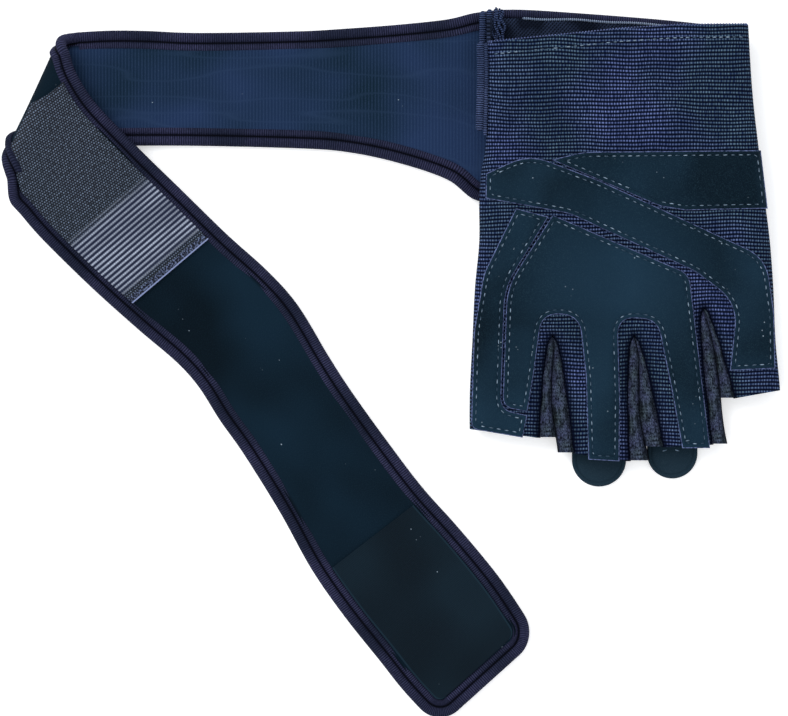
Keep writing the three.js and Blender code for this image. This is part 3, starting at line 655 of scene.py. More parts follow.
def twill_material(name, dark, light):
    """A dark twill with two crossing sets of fine slanting ribs."""
    twill = Fabric(name, roughness=0.9)
    turned = twill.coordinates(scale=(1 / TWILL_RIB, 1 / TWILL_RIB), turn=42)
    x, y = twill.axes(turned)
    weave = twill.math("MAXIMUM", x.wave(1.6), y.wave(1.6) * 0.6)
    patch = twill.noise(turned, 0.09, 1.0).spread(0.4, 0.62, 0.15, 0.9)
    share = weave * twill.noise(turned, 2.2) * patch
    return twill.finish(twill.mix(share, dark, light), weave, 0.12 * MM, 0.7)


def fuzzy_material(name, dark, middle, light):
    """Brushed stretch fabric: fuzzy on the crown of a roll, with painted shade making it nearly black down
    its sides.
    """
    fuzz = Fabric(name, roughness=0.95)
    flat = fuzz.coordinates()
    x, y = fuzz.axes(flat)
    # painted shade: the roll's sides fall to the dark colour, only its crown is lit
    crown = abs(x - GUSSET_WIDTH / 2).spread(GUSSET_WIDTH * 0.44, GUSSET_WIDTH * 0.1)
    fibre = fuzz.long_noise((1900, 1300), 4.0, 0.75)
    tuft = fuzz.long_noise((620, 260), 2.0).spread(0.36, 0.6, 0.3, 1.0)
    tone = fuzz.mix(fuzz.noise(flat, 130, 1.0).spread(0.3, 0.7), middle, light)
    ribs = (y / KNIT_ROW).wave(0.8)
    lit = fibre.spread(0.4, 0.58) * tuft * crown * (ribs * 0.4 + 0.7)
    return fuzz.finish(fuzz.mix(lit, dark, tone), fibre + tuft, 0.35 * MM, 0.9)


def suede_material(name, dark, middle, light):
    """Short-napped microfibre suede with softly brushed patches, palest in the middle of the palm."""
    suede = Fabric(name, roughness=0.88)
    place = suede.coordinates("Object")
    x, y = suede.axes(place)
    palm = world(0.46 * GLOVE_WIDTH, 0.42 * GLOVE_LENGTH, 0)
    aside = x - palm.x
    above = y - palm.y
    near = suede.math("SQRT", aside * aside + above * above).spread(44 * MM, 8 * MM, 0.0, 0.8)
    brushed = suede.noise(place, 24).spread(0.4, 0.66, 0.0, 0.6)
    nap = suede.noise(place, 3200, 3.0, 0.6)
    tone = suede.mix(suede.math("MAXIMUM", near, brushed), dark, middle)
    tone = suede.mix(nap.spread(0.5, 0.72) * 0.35, tone, light)
    pores = suede.noise(place, 900) * 0.5
    return suede.finish(suede.dust(place, tone, 420, 0.12), pores + nap, 0.1 * MM, 0.5)


def binding_material(name, dark, middle, light, rib=BINDING_RIB, groove=False):
    """Woven stretch tape whose ribs run square to the bound edge, with painted shade making it nearly black
    in the seam's groove.
    """
    tape = Fabric(name, roughness=0.8)
    flat = tape.coordinates()
    x, y = tape.axes(flat)
    ribs = (y / rib).wave(0.9)
    yarn = tape.long_noise((900, 2600), 3.0)
    tone = tape.mix(tape.noise(flat, 40).spread(0.38, 0.62), middle, light)
    colour = tape.mix(ribs * yarn.spread(0.3, 0.65, 0.35, 1.0), dark, tone)
    if groove:
        # painted shade: the seam's groove turns nearly black
        colour = tape.mix(abs(x - GROOVE_DEPTH).spread(0.6 * MM, 0.15 * MM), colour, "#060812")
    return tape.finish(colour, yarn * 0.3 + ribs, 0.2 * MM, 0.9)


# Tape of the wrap's bound edge, with painted shade in its groove
def groove_shaded_material(name, *colours):
    return binding_material(name, *colours, groove=True)


def hem_material(name, *colours):
    return binding_material(name, *colours, rib=KNIT_COLUMN)


def overlock_material(name, *colours):
    return binding_material(name, *colours, rib=OVERLOCK_RIB)


def lining_material(name, dark, light, glint):
    """Smooth brushed lining with fine ribs across the wrap and faint slanting creases, with painted glints on
    the ribs and creases and painted shade beside the bound edges.
    """
    lining = Fabric(name, roughness=0.85)
    flat = lining.coordinates()
    x, y = lining.axes(flat)
    ribs = (y / LINING_RIB).wave()
    grain = lining.noise(flat, 2400, 3.0)
    tone = lining.mix(lining.noise(flat, 20).spread(0.36, 0.62), dark, light)
    slant = lining.long_noise((70, 14), turn=38)
    crease = abs(slant - 0.5).spread(0.03, 0.0, 0.0, 0.4)
    share = ribs * grain.spread(0.35, 0.65, 0.08, 0.34)
    # painted highlight: the ribs and the creases are lightened towards the glint colour
    tone = lining.mix(lining.math("MAXIMUM", share, crease * 0.5), tone, glint)
    # painted shade beside the bound edges
    tone = lining.paint_edge_shade(x, tone, 2.4 * MM, "#060d18")
    height = slant * 9.0 + (grain * 0.3 + ribs)
    return lining.finish(lining.dust(flat, tone, 320, 0.09), height, 0.07 * MM, 0.7)


def loop_material(name, dark, middle, light):
    """Plain looped face of the wrap, nearly smooth."""
    face = Fabric(name, roughness=0.88)
    flat = face.coordinates()
    loops = face.noise(flat, 2600, 3.0, 0.6)
    tone = face.mix(face.noise(flat, 16).spread(0.38, 0.64), dark, middle)
    tone = face.mix(loops.spread(0.5, 0.72) * 0.3, tone, light)
    # painted shade beside the bound edges
    tone = face.paint_edge_shade(face.axes(flat)[0], tone, 2 * MM, "#04080f")
    return face.finish(face.dust(flat, tone, 300, 0.1), loops, 0.1 * MM, 0.5)


def web_material(name, ground, thread, rib, glint):
    """Charcoal woven panel with a plain band of ribs, lighter from painted glints, its pattern measured from
    the end line.
    """
    web = Fabric(name, roughness=0.6, specular=0.15)
    flat = web.coordinates()
    x, y = web.axes(flat)
    half_step = web.math("ROUND", y / WEB_YARN) * 0.5
    dots = (x / WEB_YARN + half_step).wave(1.2) * (y / WEB_YARN).wave(1.2)
    luck = web.noise(flat, 900).spread(0.35, 0.65, 0.25, 1.0)
    cloth = web.mix(dots * luck, ground, thread)
    fibre = web.long_noise((2400, 900), 3.0).spread(0.3, 0.6, 0.65, 1.0)
    strand = (y / WEB_RIB).wave(2.2) * ((x / WEB_TWIST).wave() * 0.35 + 0.65) * fibre
    # painted highlight: the ribs' glints, brighter in slow patches
    shine = web.long_noise((30, 90)).spread(0.35, 0.65, 0.45, 1.0)
    striped = web.mix(strand * shine, rib, glint)
    band_start = y.spread(WEB_BAND_START - 1 * MM, WEB_BAND_START + 1.5 * MM)
    in_band = band_start * y.spread(WEB_BAND_END + 2.5 * MM, WEB_BAND_END - 1.5 * MM)
    colour = web.mix(in_band, cloth, striped)
    speck = web.mix(web.noise(flat, 1500, 2.0, 0.7).spread(0.5, 0.6), "#0a0f1e", "#6a789c")
    colour = web.mix(y.spread(2.7 * MM, 2.3 * MM), colour, speck)
    colour = web.mix(y.spread(0.55 * MM, 0.4 * MM), colour, "#8794bd")
    return web.finish(colour, in_band * strand + dots * 0.5, 0.25 * MM, 0.9)


def hook_material(name, dark, light):
    """Close field of tiny hooks in rows, with a smoother border beside the bound edge."""
    field = Fabric(name, roughness=0.75, specular=0.08)
    scaled = field.coordinates(scale=(1 / HOOK_PITCH, 1 / HOOK_PITCH))
    x, y = field.axes(scaled)
    hooks = x.wave(1.5) * y.wave(1.5)
    share = hooks * field.noise(scaled, 0.8).spread(0.4, 0.7, 0.05, 0.5)
    slow = field.noise(field.coordinates(), 24, 1.0).spread(0.38, 0.62, 0.0, 0.35)
    tone = field.mix(field.math("MAXIMUM", share, slow), dark, light)
    beside = field.math("MINIMUM", x, STRAP_WIDTH / HOOK_PITCH - x)
    tone = field.mix(beside.spread(1.3, 0.9, 0.0, 0.7), tone, light)
    return field.finish(field.dust(scaled, tone, 0.2, 0.09), hooks, 0.18 * MM, 0.6)


def thread_material(name, dark, light):
    """Twisted sewing thread."""
    thread = Fabric(name, roughness=0.7, specular=0.1)
    place = thread.coordinates("Object")
    colour = thread.mix(thread.noise(place, 420).spread(0.4, 0.66), dark, light)
    return thread.finish(colour, thread.noise(place, 4000), 0.05 * MM, 0.5)


def cut_edge_material(name, dark, light):
    """Raw edge of a suede piece, with pale backing fibres."""
    edge = Fabric(name, roughness=0.9)
    fibres = edge.noise(edge.coordinates("Object"), 900, 3.0).spread(0.35, 0.65)
    return edge.finish(edge.mix(fibres, dark, light))


def floor_material():
    """Matte white paper on a softly lit table."""
    paper = Fabric("floor_paper", roughness=0.95)
    glow = {"Base Color": FLOOR_WHITE, "Emission Color": (1, 1, 1, 1), "Emission Strength": FLOOR_GLOW}
    for name, value in glow.items():
        paper.surface.inputs[name].default_value = value
    return paper.material


# Camera, light and floor

PHOTO_WIDTH_PX = 788
PHOTO_SCALE = 0.35 * MM
CAMERA_HEIGHT = 6.0
# The middle of the photograph, from the glove's thumb side and finger ends
VIEW_ACROSS = -26.5 * MM
VIEW_UP = 36.7 * MM


SKY_COLOUR = (0.96, 0.98, 1.0, 1)
SKY_STRENGTH = 0.95
SUN_STRENGTH = 1.3
SUN_SOFTNESS = radians(35)
SUN_TILT = (radians(-28), radians(-38), 0)


def camera_and_light():
    collection = bpy.context.scene.collection
    camera = bpy.data.objects.new("camera", bpy.data.cameras.new("camera"))
    collection.objects.link(camera)
    camera.location = world(VIEW_ACROSS, VIEW_UP, CAMERA_HEIGHT)
    camera.data.lens = camera.data.sensor_width * CAMERA_HEIGHT / (PHOTO_WIDTH_PX * PHOTO_SCALE)
    camera.data.clip_start = 0.01
    bpy.context.scene.camera = camera
    studio = bpy.data.worlds.new("studio")
    studio.use_nodes = True
    background = studio.node_tree.nodes["Background"]
    background.inputs["Color"].default_value = SKY_COLOUR
    background.inputs["Strength"].default_value = SKY_STRENGTH
    bpy.context.scene.world = studio
    key = bpy.data.objects.new("key_light", bpy.data.lights.new("key_light", "SUN"))
    key.data.energy = SUN_STRENGTH
    key.data.angle = SUN_SOFTNESS
    key.rotation_euler = SUN_TILT
    collection.objects.link(key)
    bpy.context.scene.view_settings.view_transform = "Standard"


def floor():
    bpy.ops.object.select_all(action="DESELECT")
    bpy.ops.mesh.primitive_plane_add(size=40)
    piece = bpy.context.active_object
    piece.name = "floor"
    piece.data.materials.append(floor_material())


# Hand panels

STALL_COLUMNS = 30
STALL_ROWS = 34
HAND_ROWS = 84
SHARED_FROM = 0.285 * GLOVE_LENGTH


def boundary(index, y, side):
    """X of the border between two stalls. side is -1 for the left stall, 1 for the right one."""
    if index == 0:
        return hand_edge(y, "left")
    if index == len(CROTCHES) + 1:
        return hand_edge(y, "right")
    crotch = CROTCHES[index - 1]
    top = crotch["up"] * GLOVE_LENGTH
    if y < top:
        return gap_middle(crotch, y) + side * gap_half(crotch, y)
    left, right = hand_edge(top, "left"), hand_edge(top, "right")
    share = (crotch["across"] * GLOVE_WIDTH - left) / (right - left)
    return hand_edge(y, "left") + share * (hand_edge(y, "right") - hand_edge(y, "left"))


roll_shares = np.linspace(0, 1, 60)
roll_lengths = {}
for radius in (SIDE_ROLL, GAP_ROLL):
    heights = roll(roll_shares * radius, radius) * GLOVE_HEIGHT / 2
    steps = np.hypot(np.diff(roll_shares * radius), np.diff(heights))
    over = np.concatenate([[0], np.cumsum(steps)]) - roll_shares * radius
    roll_lengths[radius] = over - over[-1]


def unrolled(distance, radius):
    """How much longer the cloth is than its plan from a rolled edge's start to a place."""
    return np.interp(distance / radius, roll_shares, roll_lengths[radius])


def cloth_across(x, y):
    """Distance across the unrolled cloth, so that the knit keeps its size over the rolled sides."""
    plan = x + unrolled(x - hand_edge(y, "left"), SIDE_ROLL)
    return plan - unrolled(hand_edge(y, "right") - x, SIDE_ROLL)


def stall_grid(index, cuff_table, height_at, seam_shift):
    rows = STALL_ROWS + HAND_ROWS
    ends = FINGER_ENDS[index]
    anchors = [0, *[crotch["across"] for crotch in CROTCHES], 1]

    @lru_cache(maxsize=None)
    def plan(i, j):
        across = (1 - cos(pi * i / STALL_COLUMNS)) / 2
        if j <= STALL_ROWS:
            end = (ends["left"] + (ends["right"] - ends["left"]) * across) * GLOVE_LENGTH
            y = end + (SHARED_FROM - end) * j / STALL_ROWS
        else:
            steady = anchors[index] + (anchors[index + 1] - anchors[index]) * across
            cuff = cuff_edge(cuff_table, steady * GLOVE_WIDTH * 0.86 + SLIT["across"] * GLOVE_WIDTH)
            y = SHARED_FROM + (cuff - SHARED_FROM) * (j - STALL_ROWS) / HAND_ROWS
        left = boundary(index, y, 1)
        right = boundary(index + 1, y, -1)
        return left + (right - left) * across, y

    def place(i, j):
        x, y = plan(i, j)
        return on(height_at, x, y, seam_shift)

    def pattern(i, j):
        x, y = plan(i, j)
        return cloth_across(x, y), y

    return placed_grid("stall", STALL_COLUMNS, rows, place, pattern)


def hand_panel(name, cuff_table, height_at, seam_shift):
    stalls = [stall_grid(i, cuff_table, height_at, seam_shift) for i in range(len(FINGER_ENDS))]
    piece = join(name, stalls)
    merge_doubles(piece, 0.02 * MM)
    flat = np.array([vertex.co[:2] for vertex in piece.data.vertices]) - ORIGIN.xy
    shade_points(piece, beside_gaps(flat[:, 0], flat[:, 1]))
    return piece


def palm_panel():
    def height_at(x, y):
        edge = cuff_edge(PALM_CUFF_EDGE, x)
        hem = smooth_step(y, edge - HEM_DEPTH, edge - HEM_DEPTH * 0.8)
        return palm_height(x, y) + HEM_RISE * hem * bulge_at(x, y)

    piece = hand_panel("palm_panel_knit", PALM_CUFF_EDGE, height_at, SEAM_GAP / 2)
    thicken(piece, KNIT_WALL)
    finish_piece(piece, "palm_panel", "knit", angle=60)


def back_panel():
    def height_at(x, y):
        return np.maximum(back_height(x, y), SEAM_GAP / 2)

    piece = hand_panel("back_panel_knit", BACK_CUFF_EDGE, height_at, -SEAM_GAP / 2)
    thicken(piece, KNIT_WALL, offset=1)
    cover(piece, "knit", "inside")
    centres = np.array([face.center[:] for face in piece.data.polygons])
    outside = height_at(centres[:, 0] - ORIGIN.x, centres[:, 1] - ORIGIN.y) - SEAM_GAP / 2
    for face, above in zip(piece.data.polygons, centres[:, 2] - outside):
        face.material_index = 1 if above > KNIT_WALL * 0.6 else 0
    finish_piece(piece, "back_panel", angle=60)


# Wrist wrap

FOLD_HEIGHT = 2 * FOLD_RADIUS
ARM_END = len(STRAP_ARM) - 1
TAIL_START = ARM_END + 1
STRIP_END = TAIL_START + len(STRAP_TAIL) - 1
ARM_ROW_STEPS = 10
TAIL_ROW_STEPS = 10
FOLD_STEPS = 28
TIP_STEPS = 10
SHEET_COLUMNS = 36
UNDER_BINDING = 4.7 * MM
PATCH_MARGIN = 6.3 * MM
FACE_HEIGHT = 1.35 * MM
SHARPEST_SLANT = 0.8
CLOSEST_ROWS = 0.02


def strap_plan(out, up):
    return Vector((strap_root.x - out * STRAP_REACH, strap_root.y + up * STRAP_REACH))


def row_table(rows):
    table = np.array([[row["out"], row["up"], row["rise"], row["turn"], row["width"]] for row in rows])
    return np.vstack([2 * table[0] - table[1], table, 2 * table[-1] - table[-2]])


ARM_TABLE = row_table(STRAP_ARM)
TAIL_TABLE = row_table(STRAP_TAIL)


def read_rows(table, place):
    """A smooth curve through a table of cross lines at a place between two rows."""
    index = min(int(place), len(table) - 4)
    share = place - index
    before, first, second, after = table[index:index + 4]
    start = (second - before) / 2
    end = (after - first) / 2
    cubic = 2 * first - 2 * second + start + end
    square = 3 * second - 3 * first - 2 * start - end
    return cubic * share**3 + square * share**2 + start * share + first


def flat_station(values, lining_up):
    out, up, rise, turn, width = values
    plan = strap_plan(out, up)
    height = BINDING_HEIGHT / 2 + max(0, rise) * FOLD_HEIGHT
    across = Vector((cos(radians(turn)), sin(radians(turn)), 0))
    return world(plan.x, plan.y, height), across, Vector((0, 0, lining_up)), width * STRAP_WIDTH / 2


@lru_cache(maxsize=None)
def station_at(place):
    """Centre, direction across, lining side and half width of the wrap, at a place counted in rows."""
    if place <= ARM_END:
        return flat_station(read_rows(ARM_TABLE, max(0, place)), 1)
    if place >= TAIL_START:
        return flat_station(read_rows(TAIL_TABLE, min(STRIP_END, place) - TAIL_START), -1)
    first, across, _, first_half = flat_station(read_rows(ARM_TABLE, ARM_END), 1)
    last, _, _, last_half = flat_station(read_rows(TAIL_TABLE, 0), -1)
    share = place - ARM_END
    angle = pi * share
    outward = Vector((-across.y, across.x, 0))
    centre = first.lerp(last, share)
    centre.z = first.z + FOLD_RADIUS * (1 - cos(angle))
    centre += outward * FOLD_RADIUS * sin(angle)
    lining = Vector((0, 0, cos(angle))) - outward * sin(angle)
    return centre, across, lining, first_half + (last_half - first_half) * share


def raw_edge(place, side):
    centre, across, _, half = station_at(min(max(place, 0), STRIP_END))
    return centre + across * side * half


def inside_edge(place, side, inward):
    """Point inside an edge of the wrap, at a distance that is measured square to the edge."""
    centre, across, _, half = station_at(place)
    along = (raw_edge(place + 0.1, side) - raw_edge(place - 0.1, side)).normalized()
    slant = 1 / max(SHARPEST_SLANT, along.cross(across).length)
    return centre + across * side * (half - inward * slant)


tip_span = (station_at(STRIP_END)[0] - station_at(STRIP_END - 1)[0]).length


def before_tip(distance):
    return STRIP_END - distance / tip_span


def strip_places(end):
    """Places of the cross lines from the root to an end, closest together in the fold."""
    arm = [i / ARM_ROW_STEPS for i in range(ARM_END * ARM_ROW_STEPS + 1)]
    fold = [ARM_END + i / FOLD_STEPS for i in range(1, FOLD_STEPS)]
    tail_rows = len(STRAP_TAIL) - 1
    tail = [TAIL_START + i / TAIL_ROW_STEPS for i in range(tail_rows * TAIL_ROW_STEPS + 1)]
    return [0, *[place for place in arm + fold + tail if CLOSEST_ROWS < place < end - CLOSEST_ROWS], end]


length_places = strip_places(STRIP_END)
length_sums = distances_along([station_at(place)[0] for place in length_places])


def length_at(place):
    return float(np.interp(place, length_places, length_sums))


def tip_rows(margin):
    """Places and narrowings of the cross lines that round off the tip."""
    radius = TIP_RADIUS - margin
    rows = []
    for i in range(TIP_STEPS + 1):
        turn = pi / 2 * i / TIP_STEPS
        rows.append((before_tip(margin + radius * (1 - sin(turn))), radius * (1 - cos(turn))))
    return rows


def rows_to_tip(margin):
    """Places and narrowings of all the cross lines, from the root to the rounded tip."""
    tip = tip_rows(margin)
    return [(place, 0.0) for place in strip_places(tip[0][0])[:-1]] + tip


def across_point(place, share, margin, height):
    """Point across the wrap from one edge's margin, share 0, to the other's, share 1, over its middle."""
    low = inside_edge(place, -1, margin)
    high = inside_edge(place, 1, margin)
    return low.lerp(high, share) + station_at(place)[2] * height


def sag_at(place, share):
    """Slow unevenness of the wrap's soft faces."""
    swell = sin(2.1 * place + 3 * share) + sin(3.7 * place - 4.4 * share + 1.3)
    return 0.09 * MM * swell


def lining_height(place, share):
    """Height of the lining over the wrap's middle, lower beside the bound edges."""
    crown = 0.86 + 0.14 * float(roll(min(share, 1 - share), 0.16))
    return FACE_HEIGHT * crown + sag_at(place, share)


def strap_sheet():
    rows = rows_to_tip(UNDER_BINDING)

    @lru_cache(maxsize=None)
    def place(i, j):
        share = i / SHEET_COLUMNS
        where, narrow = rows[j]
        return across_point(where, share, UNDER_BINDING + narrow, lining_height(where, share))

    def pattern(i, j):
        along = length_at(rows[j][0])
        return i / SHEET_COLUMNS * STRAP_WIDTH, -place(i, j).x if rows[j][0] <= ARM_END else along

    piece = placed_grid("strap_sheet", SHEET_COLUMNS, len(rows) - 1, place, pattern)
    merge_doubles(piece)
    cover(piece, "lining", "loop_face")
    thicken(piece, 2 * FACE_HEIGHT, material_offset=1, material_offset_rim=1)
    return finish_piece(piece, "strap")


def strap_binding():
    side_rows = rows_to_tip(0)
    path = [(*row, 1) for row in side_rows] + [(*row, -1) for row in reversed(side_rows)]
    points = [inside_edge(place, side, inward) for place, inward, side in path]
    sums = distances_along(points)
    face = [(row["depth"] * MM, row["height"] * BINDING_HEIGHT / 2) for row in BINDING_PROFILE]
    section = face + [(depth, -height) for depth, height in reversed(face[1:])]

    def place(i, j):
        before = points[max(0, j - 1)]
        after = points[min(len(points) - 1, j + 1)]
        lining = station_at(path[j][0])[2]
        inward = lining.cross(after - before).normalized()
        depth, height = section[i % len(section)]
        corner = points[j] + inward * depth + lining * height
        corner.z = max(corner.z, 0)
        return corner

    def pattern(i, j):
        return section[i % len(section)][0], float(sums[j])

    piece = placed_grid("strap_binding_tape", len(section), len(path) - 1, place, pattern)
    close_tube(piece)
    return finish_piece(piece, "strap_binding", "binding", angle=75)


def end_points(line):
    return [world(*strap_plan(*line[key]), 0) for key in ("near", "far")]


def crossing(line, share, margin):
    """Place where the wrap crosses an end line, at a share of its width."""
    near, far = end_points(line)
    along = (near - far).normalized()
    places = np.linspace(TAIL_START - 0.25, STRIP_END - 0.5, 260)
    aside = np.array([along.cross(across_point(float(place), share, margin, 0) - far).z for place in places])
    if aside[0] * aside[-1] >= 0:
        return float(places[0])
    index = int(np.argmax(aside[1:] * aside[:-1] < 0))
    part = aside[index] / (aside[index] - aside[index + 1])
    return float(places[index] + part * (places[index + 1] - places[index]))


PATCH_COLUMNS = 40
PATCH_ROWS = 60


def face_patch(name, node, fabric, start_line, end_line, margin, thickness):
    """Layer on the wrap's outer face between two end lines, or from one to the rounded tip."""
    shares = [i / PATCH_COLUMNS for i in range(PATCH_COLUMNS + 1)]
    starts = [crossing(start_line, share, margin) for share in shares]
    if end_line:
        ends = [crossing(end_line, share, margin) for share in shares]
        closing = [None]
        near, far = end_points(end_line)
        along = (near - far).normalized()
    else:
        closing = tip_rows(margin)
        ends = [closing[0][0]] * len(shares)

    @lru_cache(maxsize=None)
    def place(i, j):
        where = starts[i] + (ends[i] - starts[i]) * j / PATCH_ROWS
        narrow = 0
        if j > PATCH_ROWS:
            where, narrow = closing[j - PATCH_ROWS]
        height = lining_height(where, shares[i]) - 2 * FACE_HEIGHT - PATCH_GAP
        return across_point(where, shares[i], margin + narrow, height)

    def pattern(i, j):
        if end_line:
            offset = place(i, j) - far
            return offset.xy.dot(along.xy), abs(along.cross(offset).z)
        where = starts[i] + (ends[i] - starts[i]) * min(j, PATCH_ROWS) / PATCH_ROWS
        return shares[i] * STRAP_WIDTH, length_at(where)

    piece = placed_grid(name, PATCH_COLUMNS, PATCH_ROWS + len(closing) - 1, place, pattern)
    merge_doubles(piece)
    thicken(piece, thickness)
    point_outwards(piece)
    return finish_piece(piece, node, fabric)


# Suede pieces

OUTLINE_STEPS = 10
LONGEST_SETBACK = 0.48
SHORTEST_SETBACK = 1 * MM
SHARP_CORNER = 0.01
RIM_RINGS = [0.28 * MM, 0.4 * MM, 0.5 * MM, 0.37 * MM, 0.4 * MM]
GRID_PITCH = 2.2 * MM
# Millimetres from the suede's cut edge and over its lying top: a rounded rim and the line that the thread
# pulls in
RIM_PROFILE = [
    (0.0, -0.6), (0.28, -0.14), (0.68, 0.0), (1.18, -0.03), (1.55, -0.3), (1.95, -0.03), (2.6, 0.0)]


def rounded_outline(corners):
    centres = [Vector((row["across"] * GLOVE_WIDTH, row["up"] * GLOVE_LENGTH)) for row in corners]
    points = []
    for i, row in enumerate(corners):
        here = centres[i]
        to_before = centres[i - 1] - here
        to_after = centres[(i + 1) % len(corners)] - here
        half_angle = to_before.angle(to_after) / 2
        longest = min(to_before.length, to_after.length) * LONGEST_SETBACK
        setback = min(row["round"] * GLOVE_WIDTH / tan(half_angle), longest)
        if row["round"] <= SHARP_CORNER or setback < SHORTEST_SETBACK:
            points.append(here)
            continue
        start = here + to_before.normalized() * setback
        end = here + to_after.normalized() * setback
        for step in range(OUTLINE_STEPS + 1):
            share = step / OUTLINE_STEPS
            points.append(start.lerp(here, share).lerp(here.lerp(end, share), share))
    return points


def distance_to(outline, points):
    """Distance of each point to a closed outline."""
    starts = np.array([tuple(point) for point in outline])
    spans = np.roll(starts, -1, axis=0) - starts
    lengths = np.maximum((spans**2).sum(axis=1), 1e-12)
    nearest = np.full(len(points), np.inf)
    for start, span, length in zip(starts, spans, lengths):
        offset = points - start
        share = np.clip(offset @ span / length, 0, 1)
        nearest = np.minimum(nearest, np.hypot(*(offset - share[:, None] * span).T))
    return nearest


def cut_by_grid(pitch):
    """Bisects the edited mesh by upright planes in both directions."""
    piece = bpy.context.edit_object
    low = [min(corner[axis] for corner in piece.bound_box) for axis in (0, 1)]
    high = [max(corner[axis] for corner in piece.bound_box) for axis in (0, 1)]
    for axis in (0, 1):
        normal = (1, 0, 0) if axis == 0 else (0, 1, 0)
        for step in range(1, int((high[axis] - low[axis]) / pitch) + 1):
            plane = [0, 0, 0]
            plane[axis] = low[axis] + step * pitch
            bpy.ops.mesh.select_all(action="SELECT")
            bpy.ops.mesh.bisect(plane_co=plane, plane_no=normal)


def turns_left(outline):
    return sum(a.x * b.y - b.x * a.y for a, b in zip(outline, outline[1:] + outline[:1])) > 0


def suede_piece(node, outline, height_at, fabric, edge, thickness=PAD_THICKNESS):
    """A cut piece of suede draped on the hand, with a rounded rim and a sewn-in line along it."""
    if not turns_left(outline):
        outline = outline[::-1]
    bpy.ops.object.select_all(action="DESELECT")
    bpy.ops.mesh.primitive_circle_add(vertices=len(outline), fill_type="NGON")
    piece = bpy.context.active_object
    piece.name = node + "_suede"
    for vertex, point in zip(piece.data.vertices, outline):
        vertex.co = (point.x, point.y, 0)
    bpy.ops.object.mode_set(mode="EDIT")
    bpy.ops.mesh.select_all(action="SELECT")
    bpy.ops.mesh.normals_make_consistent(inside=False)
    for width in RIM_RINGS:
        bpy.ops.mesh.inset(thickness=width, use_boundary=True, use_even_offset=True)
    cut_by_grid(GRID_PITCH)
    merge_doubles(piece, 0.03 * MM)
    flat = np.array([vertex.co[:2] for vertex in piece.data.vertices])
    inward = distance_to(outline, flat)
    depths, heights = np.array(RIM_PROFILE).T * MM
    top = height_at(flat[:, 0], flat[:, 1]) + thickness + np.interp(inward, depths, heights)
    for vertex, (x, y), z in zip(piece.data.vertices, flat, top):
        vertex.co = world(x, y, z)
    if sum(face.normal.z for face in piece.data.polygons) < 0:
        piece.data.flip_normals()
    cover(piece, fabric, edge)
    for face in piece.data.polygons:
        if max(inward[corner] for corner in face.vertices) < RIM_RINGS[0] * 1.1:
            face.material_index = 1
    thicken(piece, thickness, material_offset_rim=1)
    finish_piece(piece, node, angle=55)


def inset_path(outline, distance):
    """Closed path inside an outline, without the loops that sharp corners would leave."""
    turn = 1 if turns_left(outline) else -1
    dense = []
    for a, b in zip(outline, outline[1:] + outline[:1]):
        steps = max(1, int((b - a).length / (0.5 * MM)))
        side = (b - a).normalized().orthogonal() * turn
        dense += [a.lerp(b, step / steps) + side * distance for step in range(steps + 1)]
    points = np.array([tuple(point) for point in dense])
    return points[distance_to(outline, points) > distance * 0.97]


def knit_top(x, y):
    return palm_height(x, y) + SEAM_GAP / 2 + 0.05 * MM


def on(height_at, x, y, above=0.0):
    """Point over a place of the hand."""
    return world(x, y, float(height_at(x, y)) + above)


def over_patch(x, y):
    """Height of the band's bed: the knit, and the wrist patch where that lies under it."""
    inside = smooth_step(y, band_line(x) - 1 * MM, band_line(x) + 1 * MM)
    patch = smooth_step(x, 0.27 * GLOVE_WIDTH, 0.3 * GLOVE_WIDTH)
    return knit_top(x, y) + inside * patch * PAD_THICKNESS * 0.55


def band_line(x):
    """Upper edge of the band, a little inside it, where the wrist patch ends under it."""
    return (0.699 - 0.275 * (x / GLOVE_WIDTH - 0.2)) * GLOVE_LENGTH


def under_band(x, y):
    return y < band_line(x) + 2 * MM


# Stitches

stitch_groups = []


def stitch_row(path, height_at, closed=True, pitch=STITCH_PITCH, skip=None):
    """Notes the places of a row of stitches along a path in plan."""
    points = np.array([tuple(point) for point in path])
    if closed:
        points = np.vstack([points, points[:1]])
    steps = np.hypot(*np.diff(points, axis=0).T)
    sums = np.concatenate([[0], np.cumsum(steps)])
    count = max(2, int(sums[-1] / pitch))
    for index in range(count):
        middle = (index + 0.5) * sums[-1] / count
        ends = []
        for distance in (middle - STITCH_LENGTH / 2, middle + STITCH_LENGTH / 2):
            x, y = (float(np.interp(distance, sums, points[:, axis])) for axis in (0, 1))
            ends.append((x, y))
        if skip and skip(*ends[0]):
            continue
        first, last = (on(height_at, x, y, STITCH_RISE) for x, y in ends)
        if (last - first).length > STITCH_LENGTH * 0.6:
            stitch_groups.append((first, last))


def pad_stitches(outline, height_at, skip=None):
    def groove(x, y):
        return height_at(x, y) + PAD_THICKNESS - 0.3 * MM
    stitch_row(inset_path(outline, STITCH_INSET), groove, skip=skip)


